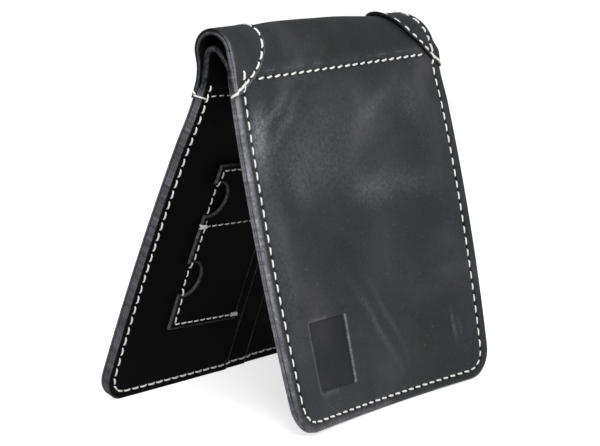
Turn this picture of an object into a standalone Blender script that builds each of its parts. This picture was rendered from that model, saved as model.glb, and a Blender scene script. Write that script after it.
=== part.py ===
# Bifold leather wallet, standing as an open tent on its two free edges.
# Metres, +Z up. The fold runs along X, the embossed front half faces -Y, the back half +Y.
# The origin is on the floor, at the centre of the wallet's bounding box.
# Places on a half are written as x along the fold, v down from the half's cross seam, and
# depth in from the half's outer face. Places on the spine are x and s, the distance along
# the cover's outer face from the front cross seam, up over the fold.

import math

import bmesh
import bpy
from mathutils import Matrix, Vector

# Overall sizes
WIDTH = 0.0888
SEAM_TO_FREE_EDGE = 0.0895
SEAM_TO_SPINE = 0.0030
CORNER_RADIUS = 0.0080
FRONT_LEAN = math.radians(11.0)
BACK_LEAN = math.radians(22.0)

# Leather thicknesses, and the clearance between two pieces that touch
COVER_THICKNESS = 0.00095
LINER_THICKNESS = 0.00035
POCKET_THICKNESS = 0.00035
SMALL_POCKET_THICKNESS = 0.0006
PATCH_THICKNESS = 0.0005
SPINE_LINER_THICKNESS = 0.0015
CLEARANCE = 0.0003
LAYER_TRIM = 0.00045
COVER_EDGE_BEVEL = 0.00035

# Flat field of a cover panel: it starts below the patches' tips and ends inside the seams,
# which press the leather down round it
FIELD_INSET = 0.0039
FIELD_TOP = 0.0060
FIELD_RISE = 0.0001

# Warp of a half that stands by itself. A panel bows outwards between its seam and its free edge,
# its lower corners twist, and its side edges cup: each is the rise where it is greatest.
FRONT_BOW = 0.00047
FRONT_TWIST = -0.00128
FRONT_CUP = 0.00210
BACK_BOW = 0.00163
BACK_TWIST = -0.00216
BACK_CUP = -0.00140
WARP_START = 0.0140
WARP_CELL = 0.0140
WARP_CELLS_ACROSS = 3
WARP_CELLS_DOWN = 6

# Section of the cover over the fold, from the front seam to the back seam
FRONT_RISE = 0.0080
CROWN_RADIUS = 0.0052
WAIST_RADIUS = 0.0140
WAIST_LEAN = math.radians(10.0)
SPINE_STATIONS = 30
SPINE_COLUMNS = 8

# The fold's end with the larger patch leans back and sinks: how far its top moves, where along
# the fold this starts, and the power it grows by
FAR_LEAN = 0.0034
FAR_SINK = 0.0025
FAR_START = -0.0300
FAR_POWER = 1.5

# Section of the liner over the fold
LINER_APEX_DROP = 0.0013
LINER_APEX_SHIFT = 0.0001
LINER_APEX_RADIUS = 0.0016
LINER_LEAD = 0.0010
APEX_STATIONS = 9

# The fold's axis, below the centre of the crown
FOLD_AXIS_DROP = 0.0023

# Thread: one strand a seam
THREAD_RADIUS = 0.0003
STITCH_MARGIN = 0.0024
STRAND_SLOPE = 0.0006
CROSS_SEAM_END_INSET = 0.0071
TACK_LENGTH = 0.0034
TACK_WIDTH = 0.0010
TACK_THICKNESS = 0.0005

# Patches over the two ends of the spine: a nose whose stitch line follows
# depth * (1 - (distance / half length) ** nose)
PATCH_MARGIN = 0.0012
PATCH_STATIONS = 34
PATCH_TIP_SHARE = 0.985
PATCH_COLUMN_SHARES = (1.0, 0.5, 0.0)
LEFT_PATCH_CENTRE = 0.0160
LEFT_PATCH_DEPTH = 0.0134
LEFT_PATCH_HALF_LENGTH = 0.0186
LEFT_PATCH_NOSE = 3.1
RIGHT_PATCH_CENTRE = 0.0165
RIGHT_PATCH_DEPTH = 0.0149
RIGHT_PATCH_HALF_LENGTH = 0.0195
RIGHT_PATCH_NOSE = 2.0

# Thread round the side edges: where it starts above a patch's tip, and how far it drops on each face
EDGE_WRAP_RISE = 0.0018
EDGE_WRAP_RUN = 0.0008

# Card pockets: the mouth's distance from the left stitch line
FRONT_POCKET_MOUTH = 0.0460
MIDDLE_POCKET_MOUTH = 0.0460
REAR_POCKET_MOUTH = 0.0545

# Small two-part pocket on the back half's inner side
SMALL_POCKET_LEFT = 0.0160
SMALL_POCKET_RIGHT = 0.0440
SMALL_POCKET_TOP = 0.0208
SMALL_POCKET_BOTTOM = 0.0704
SMALL_POCKET_STITCH = 0.0016
SMALL_POCKET_DIVIDER = 0.0404
NOTCH_RADIUS = 0.0050
NOTCH_CENTRE_INSET = 0.0019
UPPER_NOTCH = 0.0311
LOWER_NOTCH = 0.0551

# Debossed recess on the front half's outer face
RECESS_WIDTH = 0.0158
RECESS_HEIGHT = 0.0180
RECESS_DEPTH = 0.0004
RECESS_LEFT = 0.0087
RECESS_TOP = 0.0623

ARC_STEPS = 6
NOTCH_STEPS = 12

# Faces that meet at less than this are one face
COPLANAR_ANGLE = math.radians(0.1)

# The side that a half's outer face looks to, along Y
FRONT = -1
BACK = 1

# Finishes: sRGB colour, roughness
FINISHES = {
    "cover": ("3F4043", 0.55),
    "liner": ("1A1B1C", 0.65),
    "pocket": ("1D1E1F", 0.62),
    "patch": ("3A3B3E", 0.55),
    "thread": ("E9E8E4", 0.70),
}

# Depths of the layers from the outer face
LINER_DEPTH = COVER_THICKNESS + CLEARANCE
POCKET_DEPTH = LINER_DEPTH + LINER_THICKNESS + CLEARANCE
SECOND_POCKET_DEPTH = POCKET_DEPTH + POCKET_THICKNESS + CLEARANCE
SMALL_POCKET_DEPTH = SECOND_POCKET_DEPTH + POCKET_THICKNESS + CLEARANCE
HALF_WIDTH = WIDTH / 2
STITCH_X = HALF_WIDTH - STITCH_MARGIN
STITCH_V = SEAM_TO_FREE_EDGE - STITCH_MARGIN
STRAND_LIFT = CLEARANCE + THREAD_RADIUS
PATCH_TOP = CLEARANCE + PATCH_THICKNESS
MERGE_DISTANCE = CLEARANCE / 30


def clear_scene():
    for old in list(bpy.data.objects):
        bpy.data.objects.remove(old, do_unlink=True)


def new_collection(name):
    collection = bpy.data.collections.new(name)
    bpy.context.scene.collection.children.link(collection)
    return collection


def linear(channel):
    if channel <= 0.04045:
        return channel / 12.92
    return ((channel + 0.055) / 1.055) ** 2.4


def finish(obj, kind):
    colour, roughness = FINISHES[kind]
    material = bpy.data.materials.new(f"{obj.name}_{kind}")
    material.use_nodes = True
    shader = material.node_tree.nodes["Principled BSDF"]
    rgb = [linear(int(colour[i:i + 2], 16) / 255) for i in (0, 2, 4)]
    shader.inputs["Base Color"].default_value = (*rgb, 1.0)
    shader.inputs["Roughness"].default_value = roughness
    shader.inputs["Metallic"].default_value = 0.0
    obj.data.materials.append(material)


def new_empty(name, matrix, parent=None):
    empty = bpy.data.objects.new(name, None)
    WALLET.objects.link(empty)
    empty.parent = parent
    bpy.context.view_layer.update()
    empty.matrix_world = matrix
    return empty


def place(obj, kind, matrix, parent):
    bpy.context.view_layer.update()
    obj.parent = parent
    obj.matrix_world = matrix
    finish(obj, kind)
    return obj


def bake(obj):
    """Turn a curve or a modified mesh into a plain mesh object of the same name."""
    name = obj.name
    evaluated = obj.evaluated_get(bpy.context.evaluated_depsgraph_get())
    mesh = bpy.data.meshes.new_from_object(evaluated)
    bpy.data.objects.remove(obj, do_unlink=True)
    mesh.name = name
    baked = bpy.data.objects.new(name, mesh)
    WALLET.objects.link(baked)
    return baked


# Section geometry in the YZ plane, measured from the front seam's outer face

def along(lean, side):
    """Direction up a half, for the side FRONT or BACK."""
    return Vector((0.0, -side * math.sin(lean), math.cos(lean)))


def outward(lean, side):
    return Vector((0.0, side * math.cos(lean), math.sin(lean)))


def arc_point(centre, radius, angle):
    """Point of a circle in the YZ plane, the angle counted from +Y towards +Z."""
    return centre + radius * Vector((0.0, math.cos(angle), math.sin(angle)))


def half_drop(lean):
    """Height of a half's cross seam above the liner's lowest edge, which stands on the floor."""
    return SEAM_TO_FREE_EDGE * math.cos(lean) + (LINER_DEPTH + LINER_THICKNESS) * math.sin(lean)


CROWN_CENTRE = FRONT_RISE * along(FRONT_LEAN, FRONT) - CROWN_RADIUS * outward(FRONT_LEAN, FRONT)
WAIST_CENTRE = arc_point(CROWN_CENTRE, CROWN_RADIUS + WAIST_RADIUS, -WAIST_LEAN)
CROWN_LENGTH = CROWN_RADIUS * (math.pi - FRONT_LEAN + WAIST_LEAN)
WAIST_LENGTH = WAIST_RADIUS * (BACK_LEAN + WAIST_LEAN)
WAIST_END = arc_point(WAIST_CENTRE, WAIST_RADIUS, math.pi + BACK_LEAN)
BACK_SEAM_Z = half_drop(BACK_LEAN) - half_drop(FRONT_LEAN)
BACK_RISE = (WAIST_END.z - BACK_SEAM_Z) / math.cos(BACK_LEAN)
BACK_SEAM = WAIST_END - BACK_RISE * along(BACK_LEAN, BACK)
SPINE_LENGTH = FRONT_RISE + CROWN_LENGTH + WAIST_LENGTH + BACK_RISE
FOLD_AXIS = CROWN_CENTRE - Vector((0.0, 0.0, FOLD_AXIS_DROP))


def spine_point(s, lift=0.0):
    """Point on the cover's outer face at the distance s from the front seam, lifted outwards."""
    if s < FRONT_RISE:
        return s * along(FRONT_LEAN, FRONT) + lift * outward(FRONT_LEAN, FRONT)
    s -= FRONT_RISE
    if s < CROWN_LENGTH:
        angle = math.pi - FRONT_LEAN - s / CROWN_RADIUS
        return arc_point(CROWN_CENTRE, CROWN_RADIUS + lift, angle)
    s -= CROWN_LENGTH
    if s < WAIST_LENGTH:
        angle = math.pi - WAIST_LEAN + s / WAIST_RADIUS
        return arc_point(WAIST_CENTRE, WAIST_RADIUS - lift, angle)
    s -= WAIST_LENGTH
    return WAIST_END - s * along(BACK_LEAN, BACK) + lift * outward(BACK_LEAN, BACK)


def section_frame(position, lean):
    """Frame of a half: local X along the fold, local Y up the half, local Z towards -Y."""
    return Matrix.Translation(position) @ Matrix.Rotation(math.pi / 2 - lean, 4, "X")


FRONT_FRAME = section_frame(Vector((0.0, 0.0, 0.0)), FRONT_LEAN)
BACK_FRAME = section_frame(BACK_SEAM, -BACK_LEAN)
HALF_FRAMES = {FRONT: FRONT_FRAME, BACK: BACK_FRAME}
SPINE_FOOT_Z = SEAM_TO_SPINE * math.cos(FRONT_LEAN)
SPINE_HEIGHT = CROWN_CENTRE.z + CROWN_RADIUS - SPINE_FOOT_Z


def along_fold(x, z):
    """From the section to a place x along the fold, where what lies at the height z leans back and sinks."""
    height = max(z - SPINE_FOOT_Z, 0.0) / SPINE_HEIGHT
    run = max(x - FAR_START, 0.0) / (HALF_WIDTH - FAR_START)
    share = run ** FAR_POWER
    return Vector((x, FAR_LEAN * share * height ** 2, -FAR_SINK * share * height))


def cover_point(x, s, lift=0.0):
    """Place on the cover's outer face over the fold, lifted outwards."""
    return spine_point(s, lift) + along_fold(x, spine_point(s).z)


def spine_columns():
    return [-HALF_WIDTH + WIDTH * i / SPINE_COLUMNS for i in range(SPINE_COLUMNS + 1)]


def half_point(x, v, depth, side):
    """Local point of a half. Depth goes to -Z on the front half and to +Z on the back half."""
    return Vector((x, -v, side * depth))


WARPS = {
    FRONT: (FRONT_BOW, FRONT_TWIST, FRONT_CUP, FRONT_LEAN),
    BACK: (BACK_BOW, BACK_TWIST, BACK_CUP, BACK_LEAN),
}


def warp_rise(x, v, side):
    """How far the warped half stands out from its plane at a place."""
    bow, twist, cup, _ = WARPS[side]
    down = max(v, 0.0) / STITCH_V
    across = x / STITCH_X
    start = min(max(v, 0.0) / WARP_START, 1.0)
    ease = start * start * (3.0 - 2.0 * start)
    return ease * (4.0 * bow * down * (1.0 - down) + twist * across * down ** 2 + cup * across ** 2 * down)


def divide(obj):
    """Bake a piece of a half and cut its faces into cells that can follow the warp.

    The middle column of cells is two wide, so each panel has a larger flat facet for its mount.
    """
    obj = bake(obj)
    work = bmesh.new()
    work.from_mesh(obj.data)
    bmesh.ops.remove_doubles(work, verts=work.verts, dist=MERGE_DISTANCE)
    bmesh.ops.dissolve_limit(work, angle_limit=COPLANAR_ANGLE, verts=work.verts, edges=work.edges)
    planes = [(Vector((i * WARP_CELL, 0.0, 0.0)), Vector((1.0, 0.0, 0.0)))
              for i in range(1 - WARP_CELLS_ACROSS, WARP_CELLS_ACROSS) if i]
    planes += [(Vector((0.0, -WARP_START / 2, 0.0)), Vector((0.0, 1.0, 0.0)))]
    planes += [(Vector((0.0, -i * WARP_CELL, 0.0)), Vector((0.0, 1.0, 0.0))) for i in range(WARP_CELLS_DOWN)]
    for place_at, normal in planes:
        everything = work.verts[:] + work.edges[:] + work.faces[:]
        bmesh.ops.bisect_plane(work, geom=everything, dist=MERGE_DISTANCE, plane_co=place_at, plane_no=normal)
    work.to_mesh(obj.data)
    work.free()
    return obj


def warp(obj, side):
    """Move a divided piece with its half's warp, level, so that the free edges stay on the floor."""
    lean = WARPS[side][3]
    work = bmesh.new()
    work.from_mesh(obj.data)
    for vert in work.verts:
        rise = warp_rise(vert.co.x, -vert.co.y, side)
        vert.co += Vector((0.0, -rise * math.tan(lean), -side * rise))
    bmesh.ops.triangulate(work, faces=work.faces[:])
    work.to_mesh(obj.data)
    work.free()


def place_on_half(obj, kind, side, parent):
    """Give a piece of a half the half's warp and place it."""
    obj = divide(obj)
    warp(obj, side)
    return place(obj, kind, HALF_FRAMES[side], parent)


# Shapes

def arc(centre_x, centre_y, radius, start, turn, steps):
    points = []
    for i in range(steps + 1):
        angle = start + turn * i / steps
        points.append((centre_x + radius * math.cos(angle), centre_y + radius * math.sin(angle)))
    return points


def half_outline(left, right, trim=0.0, mouth_right=False):
    """Outline of one leather of a half, anticlockwise, from its top left corner."""
    bottom = -SEAM_TO_FREE_EDGE + trim
    radius = CORNER_RADIUS - trim
    points = [(left, SEAM_TO_SPINE)]
    points += arc(left + radius, bottom + radius, radius, math.pi, math.pi / 2, ARC_STEPS)
    if mouth_right:
        points.append((right, bottom))
    else:
        points += arc(right - radius, bottom + radius, radius, -math.pi / 2, math.pi / 2, ARC_STEPS)
    points.append((right, SEAM_TO_SPINE))
    return points


def flat_piece(name, outline, near, far, side):
    """Flat leather between two depths of a half: a filled outline with thickness."""
    curve = bpy.data.curves.new(name, "CURVE")
    curve.dimensions = "2D"
    curve.fill_mode = "BOTH"
    curve.extrude = (far - near) / 2
    spline = curve.splines.new("POLY")
    spline.points.add(len(outline) - 1)
    middle = side * (near + far) / 2
    for point, (x, y) in zip(spline.points, outline):
        point.co = (x, y, 0.0, 1.0)
    spline.use_cyclic_u = True
    guide = bpy.data.objects.new(name + "_outline", curve)
    WALLET.objects.link(guide)
    evaluated = guide.evaluated_get(bpy.context.evaluated_depsgraph_get())
    mesh = bpy.data.meshes.new_from_object(evaluated)
    bpy.data.objects.remove(guide, do_unlink=True)
    mesh.transform(Matrix.Translation((0.0, 0.0, middle)))
    work = bmesh.new()
    work.from_mesh(mesh)
    bmesh.ops.remove_doubles(work, verts=work.verts, dist=MERGE_DISTANCE)
    bmesh.ops.recalc_face_normals(work, faces=work.faces)
    work.to_mesh(mesh)
    work.free()
    mesh.name = name
    obj = bpy.data.objects.new(name, mesh)
    WALLET.objects.link(obj)
    return obj


def raise_field(obj, side):
    """Inset a panel's outer face, so that the field inside the seams is a flat face of its own."""
    work = bmesh.new()
    work.from_mesh(obj.data)
    outer = [face for face in work.faces if face.normal.z * side < -0.5]
    field = bmesh.ops.dissolve_faces(work, faces=outer)["region"]
    bmesh.ops.inset_region(work, faces=field, thickness=FIELD_INSET, depth=FIELD_RISE, use_even_offset=True)
    for vert in field[0].verts:
        vert.co.y = min(vert.co.y, -FIELD_TOP)
    work.to_mesh(obj.data)
    work.free()


def bevel_rims(obj, width):
    bevel = obj.modifiers.new("Burnished rim", "BEVEL")
    bevel.width = width
    bevel.segments = 1
    bevel.limit_method = "ANGLE"
    bevel.angle_limit = math.radians(60.0)


def shell(name, rows, thickness):
    """Curved leather: a grid laid through rows of points, thickened away from its normals."""
    across = len(rows[0])
    mesh = bpy.data.meshes.new(name)
    work = bmesh.new()
    bmesh.ops.create_grid(work, x_segments=across - 1, y_segments=len(rows) - 1, size=0.5)
    work.verts.ensure_lookup_table()
    for i, vert in enumerate(work.verts):
        vert.co = rows[i // across][i % across]
    work.to_mesh(mesh)
    work.free()
    obj = bpy.data.objects.new(name, mesh)
    WALLET.objects.link(obj)
    solidify = obj.modifiers.new("Leather", "SOLIDIFY")
    solidify.thickness = thickness
    solidify.offset = -1.0
    solidify.use_even_offset = True
    mesh.shade_smooth()
    return obj


def strand(name, route):
    """Thread: one unbroken strand along a route of points."""
    curve = bpy.data.curves.new(name, "CURVE")
    curve.dimensions = "3D"
    curve.bevel_depth = THREAD_RADIUS
    curve.bevel_resolution = 0
    curve.use_fill_caps = True
    spline = curve.splines.new("POLY")
    spline.points.add(len(route) - 1)
    for point, place_at in zip(spline.points, route):
        point.co = (*place_at, 1.0)
    obj = bpy.data.objects.new(name, curve)
    WALLET.objects.link(obj)
    return obj


# The two halves

def add_half(side, name, parent):
    cover = flat_piece(f"cover_{name}", half_outline(-HALF_WIDTH, HALF_WIDTH),
                       0.0, COVER_THICKNESS, side)
    raise_field(cover, side)
    bevel_rims(cover, COVER_EDGE_BEVEL)
    cover = divide(cover)
    if side == FRONT:
        cover = cut_recess(cover)
    warp(cover, side)
    place(cover, "cover", HALF_FRAMES[side], parent)
    liner = flat_piece(f"liner_{name}", half_outline(-HALF_WIDTH, HALF_WIDTH),
                       LINER_DEPTH, LINER_DEPTH + LINER_THICKNESS, side)
    place_on_half(liner, "liner", side, parent)


def add_card_pocket(name, mouth, layer, side, parent):
    trim = layer * LAYER_TRIM
    near = POCKET_DEPTH if layer == 1 else SECOND_POCKET_DEPTH
    outline = half_outline(-HALF_WIDTH + trim, mouth - STITCH_X, trim, mouth_right=True)
    pocket = flat_piece(name, outline, near, near + POCKET_THICKNESS, side)
    place_on_half(pocket, "pocket", side, parent)


def cut_recess(cover):
    """Cut the blank recess that the front half's outer face carries."""
    bpy.ops.mesh.primitive_cube_add(size=1.0)
    cutter = bpy.context.active_object
    cutter.name = "recess_cutter"
    x = -STITCH_X + RECESS_LEFT + RECESS_WIDTH / 2
    middle = Matrix.Translation(half_point(x, RECESS_TOP + RECESS_HEIGHT / 2, 0.0, FRONT))
    cutter.data.transform(middle @ Matrix.Diagonal((RECESS_WIDTH, RECESS_HEIGHT, 2 * RECESS_DEPTH, 1.0)))
    cut = cover.modifiers.new("Recess", "BOOLEAN")
    cut.object = cutter
    cut.operation = "DIFFERENCE"
    cut.solver = "EXACT"
    cover = bake(cover)
    bpy.data.objects.remove(cutter, do_unlink=True)
    return cover


def notched_edge(left, centre_v):
    """Thumb notch in the small pocket's left edge, from its upper end to its lower end."""
    half_turn = math.acos(-NOTCH_CENTRE_INSET / NOTCH_RADIUS)
    return arc(left + NOTCH_CENTRE_INSET, -centre_v, NOTCH_RADIUS, half_turn, -2 * half_turn, NOTCH_STEPS)


def add_small_pocket(parent):
    left = SMALL_POCKET_LEFT - STITCH_X
    right = SMALL_POCKET_RIGHT - STITCH_X
    outline = [(left, -SMALL_POCKET_TOP)]
    for centre_v in (UPPER_NOTCH, LOWER_NOTCH):
        outline += notched_edge(left, centre_v)
    outline += [(left, -SMALL_POCKET_BOTTOM), (right, -SMALL_POCKET_BOTTOM), (right, -SMALL_POCKET_TOP)]
    pocket = flat_piece("small_pocket", outline, SMALL_POCKET_DEPTH,
                        SMALL_POCKET_DEPTH + SMALL_POCKET_THICKNESS, BACK)
    place_on_half(pocket, "pocket", BACK, parent)


# The spine

def add_cover_spine(parent):
    start = SEAM_TO_SPINE + CLEARANCE
    end = SPINE_LENGTH - SEAM_TO_SPINE - CLEARANCE
    rows = []
    for i in range(SPINE_STATIONS + 1):
        s = start + (end - start) * i / SPINE_STATIONS
        rows.append([cover_point(x, s) for x in spine_columns()])
    spine = shell("cover_spine", rows, COVER_THICKNESS)
    place(spine, "cover", Matrix(), parent)


def tangent_angle(centre, radius, point, turn):
    """Angle at which a line from an outside point touches a circle of the YZ plane."""
    gap = point - centre
    return math.atan2(gap.z, gap.y) + turn * math.acos(radius / gap.length)


def liner_ends():
    """Where the spine liner's inner face starts on the front half and ends on the back half."""
    least_depth = LINER_DEPTH + SPINE_LINER_THICKNESS
    front_depth = max(POCKET_DEPTH + POCKET_THICKNESS, least_depth)
    back_depth = max(SECOND_POCKET_DEPTH + POCKET_THICKNESS, least_depth)
    rise = SEAM_TO_SPINE + CLEARANCE
    front = rise * along(FRONT_LEAN, FRONT) - front_depth * outward(FRONT_LEAN, FRONT)
    back = BACK_SEAM + rise * along(BACK_LEAN, BACK) - back_depth * outward(BACK_LEAN, BACK)
    return front, back


def add_liner_spine(parent):
    front, back = liner_ends()
    front_bend = front + LINER_LEAD * along(FRONT_LEAN, FRONT)
    back_bend = back + LINER_LEAD * along(BACK_LEAN, BACK)
    centre = CROWN_CENTRE - Vector((0.0, LINER_APEX_SHIFT, LINER_APEX_DROP))
    first = tangent_angle(centre, LINER_APEX_RADIUS, front_bend, -1.0) % (2 * math.pi)
    last = tangent_angle(centre, LINER_APEX_RADIUS, back_bend, 1.0)
    route = [front, front_bend]
    for i in range(APEX_STATIONS + 1):
        angle = first + (last - first) * i / APEX_STATIONS
        route.append(arc_point(centre, LINER_APEX_RADIUS, angle))
    route += [back_bend, back]
    rows = [[point + along_fold(x, point.z) for x in reversed(spine_columns())] for point in route]
    spine = shell("liner_spine", rows, SPINE_LINER_THICKNESS)
    place(spine, "liner", Matrix(), parent)


def nose_depth(distance, depth, half_length, nose):
    """Depth of a patch's nose from the wallet's end at a distance from the patch's middle."""
    share = min(abs(distance) / half_length, 1.0)
    return depth * (1.0 - share ** nose)


PATCHES = {
    "left": (-1, LEFT_PATCH_CENTRE, LEFT_PATCH_DEPTH, LEFT_PATCH_HALF_LENGTH, LEFT_PATCH_NOSE),
    "right": (1, RIGHT_PATCH_CENTRE, RIGHT_PATCH_DEPTH, RIGHT_PATCH_HALF_LENGTH, RIGHT_PATCH_NOSE),
}


def patch_reach(end_name):
    """Distance from a patch's middle to its two tips, at the wallet's end."""
    return (PATCHES[end_name][3] + PATCH_MARGIN) * PATCH_TIP_SHARE


def patch_tip(end_name, side):
    """How far below the cross seam of a half a patch's tip reaches."""
    centre = PATCHES[end_name][1]
    if side == FRONT:
        return patch_reach(end_name) - centre
    return centre + patch_reach(end_name) - SPINE_LENGTH


def add_patch(end_name, parent):
    end, centre, depth, half_length, nose = PATCHES[end_name]
    reach = patch_reach(end_name)
    rows = []
    for i in range(PATCH_STATIONS + 1):
        distance = -reach + 2 * reach * i / PATCH_STATIONS
        deep = nose_depth(distance, depth + PATCH_MARGIN, half_length + PATCH_MARGIN, nose)
        row = []
        for share in PATCH_COLUMN_SHARES:
            row.append(cover_point(end * (HALF_WIDTH - share * deep), centre + distance, PATCH_TOP))
        rows.append(row if end > 0 else row[::-1])
    patch = shell(f"spine_patch_{end_name}", rows, PATCH_THICKNESS)
    place(patch, "patch", Matrix(), parent)


# Thread on the halves

def corner_route(x, v, radius, turn_side):
    """Quarter turn of a strand at a free corner: turn_side is -1 at the left and 1 at the right."""
    centre_x = x - turn_side * radius
    start = math.pi if turn_side < 0 else -math.pi / 2
    return arc(centre_x, -v + radius, radius, start, math.pi / 2, ARC_STEPS)


def add_outer_perimeter(side, name, parent):
    """Strand round the outer face: down one side, along the free edge and up the other."""
    low = -STRAND_LIFT
    high = -PATCH_TOP - STRAND_LIFT
    radius = CORNER_RADIUS - STITCH_MARGIN
    top = -SEAM_TO_SPINE + THREAD_RADIUS
    left_tip = patch_tip("left", side) + STRAND_SLOPE
    right_tip = patch_tip("right", side) + STRAND_SLOPE
    route = [half_point(-STITCH_X, top, high, side), half_point(-STITCH_X, left_tip, high, side)]
    route.append(half_point(-STITCH_X, left_tip + STRAND_SLOPE, low, side))
    for turn_side in (-1, 1):
        for x, y in corner_route(turn_side * STITCH_X, STITCH_V, radius, turn_side):
            route.append(half_point(x, -y, low, side))
    route.append(half_point(STITCH_X, right_tip + STRAND_SLOPE, low, side))
    route += [half_point(STITCH_X, right_tip, high, side), half_point(STITCH_X, top, high, side)]
    place_on_half(strand(f"perimeter_thread_{name}_outer", route), "thread", side, parent)


def stepped_run(v, start_x, end_x, steps, side):
    """Straight run of a strand along the fold that steps down to the liner at pocket mouths."""
    surfaces = [depth for _, depth in steps] + [LINER_DEPTH + LINER_THICKNESS]
    route = [half_point(start_x, v, surfaces[0] + STRAND_LIFT, side)]
    for (mouth, depth), below in zip(steps, surfaces[1:]):
        x = mouth - STITCH_X + STRAND_LIFT
        route.append(half_point(x, v, depth + STRAND_LIFT, side))
        route.append(half_point(x + STRAND_SLOPE, v, below + STRAND_LIFT, side))
    route.append(half_point(end_x, v, surfaces[-1] + STRAND_LIFT, side))
    return route


def add_inner_threads(side, name, steps, parent):
    """Strands on the inner face: round the edges, and along the cross seam."""
    radius = CORNER_RADIUS - STITCH_MARGIN
    top = -SEAM_TO_SPINE + THREAD_RADIUS
    high = steps[0][1] + STRAND_LIFT
    low = LINER_DEPTH + LINER_THICKNESS + STRAND_LIFT
    route = [half_point(-STITCH_X, top, high, side)]
    for x, y in corner_route(-STITCH_X, STITCH_V, radius, -1):
        route.append(half_point(x, -y, high, side))
    start_x = route[-1].x + STRAND_SLOPE
    route += stepped_run(STITCH_V, start_x, STITCH_X - radius - STRAND_SLOPE, steps, side)
    for x, y in corner_route(STITCH_X, STITCH_V, radius, 1):
        route.append(half_point(x, -y, low, side))
    route.append(half_point(STITCH_X, top, low, side))
    place_on_half(strand(f"perimeter_thread_{name}_inner", route), "thread", side, parent)
    end_x = STITCH_X - THREAD_RADIUS - STRAND_LIFT
    seam = stepped_run(0.0, -end_x, end_x, steps, side)
    place_on_half(strand(f"cross_seam_thread_{name}_inner", seam), "thread", side, parent)


def add_outer_cross_seam(side, name, parent):
    x = STITCH_X - CROSS_SEAM_END_INSET
    seam = [half_point(-x, 0.0, -STRAND_LIFT, side), half_point(x, 0.0, -STRAND_LIFT, side)]
    place_on_half(strand(f"cross_seam_thread_{name}_outer", seam), "thread", side, parent)


def add_edge_wraps(side, name, inner_depths, parent):
    """Thread laid aslant round the half's two side edges at the patches' tips."""
    for end_name, end in (("left", -1), ("right", 1)):
        v = patch_tip(end_name, side) - EDGE_WRAP_RISE
        outer = -PATCH_TOP - STRAND_LIFT
        inner = inner_depths[end_name] + STRAND_LIFT
        start_x = end * (STITCH_X + THREAD_RADIUS + STRAND_LIFT)
        far_x = end * (HALF_WIDTH + STRAND_LIFT)
        route = [
            half_point(start_x, v, outer, side),
            half_point(far_x, v + EDGE_WRAP_RUN, outer, side),
            half_point(far_x, v + 2 * EDGE_WRAP_RUN, inner, side),
            half_point(start_x, v + 2 * EDGE_WRAP_RUN, inner, side),
        ]
        place_on_half(strand(f"edge_wrap_{name}_{end_name}", route), "thread", side, parent)


# Thread on the spine and on the small pocket

def add_patch_thread(end_name, parent):
    """Strand along a patch's nose, between its two crossings with the edge stitching."""
    end, centre, depth, half_length, nose = PATCHES[end_name]
    least = STITCH_MARGIN + THREAD_RADIUS + STRAND_LIFT
    reach = half_length * (1.0 - least / depth) ** (1.0 / nose)
    route = []
    for i in range(PATCH_STATIONS + 1):
        distance = -reach + 2 * reach * i / PATCH_STATIONS
        deep = nose_depth(distance, depth, half_length, nose)
        x = end * (HALF_WIDTH - deep)
        route.append(cover_point(x, centre + distance, PATCH_TOP + STRAND_LIFT))
    place(strand(f"patch_thread_{end_name}", route), "thread", Matrix(), parent)


def add_spine_edge_thread(parent):
    """Edge stitching that runs on over the fold at the right end."""
    start = SEAM_TO_SPINE + CLEARANCE
    end = SPINE_LENGTH - SEAM_TO_SPINE - CLEARANCE
    route = []
    for i in range(SPINE_STATIONS + 1):
        s = start + (end - start) * i / SPINE_STATIONS
        route.append(cover_point(STITCH_X, s, PATCH_TOP + STRAND_LIFT))
    place(strand("spine_edge_thread_right", route), "thread", Matrix(), parent)


def add_small_pocket_threads(parent):
    depth = SMALL_POCKET_DEPTH + SMALL_POCKET_THICKNESS + STRAND_LIFT
    left = SMALL_POCKET_LEFT + SMALL_POCKET_STITCH - STITCH_X
    right = SMALL_POCKET_RIGHT - STITCH_X - TACK_LENGTH - CLEARANCE
    top = SMALL_POCKET_TOP + SMALL_POCKET_STITCH
    bottom = SMALL_POCKET_BOTTOM - SMALL_POCKET_STITCH
    corners = ((right, top), (left, top), (left, bottom), (right, bottom))
    outline = [half_point(x, v, depth, BACK) for x, v in corners]
    place_on_half(strand("small_pocket_thread", outline), "thread", BACK, parent)
    start = left + THREAD_RADIUS + STRAND_LIFT + TACK_LENGTH
    end = SMALL_POCKET_RIGHT - SMALL_POCKET_STITCH - STITCH_X
    divider = [half_point(x, SMALL_POCKET_DIVIDER, depth, BACK) for x in (start, end)]
    place_on_half(strand("small_pocket_divider_thread", divider), "thread", BACK, parent)


def add_bar_tacks(parent):
    """Short dense bars of thread at the small pocket's right corners and at its divider's left end."""
    near = SMALL_POCKET_DEPTH + SMALL_POCKET_THICKNESS + CLEARANCE
    right_x = SMALL_POCKET_RIGHT - STITCH_X - TACK_LENGTH / 2
    left_x = SMALL_POCKET_LEFT + SMALL_POCKET_STITCH - STITCH_X + STRAND_LIFT + TACK_LENGTH / 2
    places = {
        "top": (right_x, SMALL_POCKET_TOP + SMALL_POCKET_STITCH),
        "divider": (left_x, SMALL_POCKET_DIVIDER),
        "bottom": (right_x, SMALL_POCKET_BOTTOM - SMALL_POCKET_STITCH),
    }
    for seam, (x, v) in places.items():
        mesh = bpy.data.meshes.new(f"bar_tack_{seam}")
        work = bmesh.new()
        size = Matrix.Diagonal((TACK_LENGTH - CLEARANCE, TACK_WIDTH, TACK_THICKNESS, 1.0))
        middle = Matrix.Translation(half_point(x, v, near + TACK_THICKNESS / 2, BACK))
        bmesh.ops.create_cube(work, size=1.0, matrix=middle @ size)
        work.to_mesh(mesh)
        work.free()
        tack = bpy.data.objects.new(f"bar_tack_{seam}", mesh)
        WALLET.objects.link(tack)
        place_on_half(tack, "thread", BACK, parent)


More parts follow.
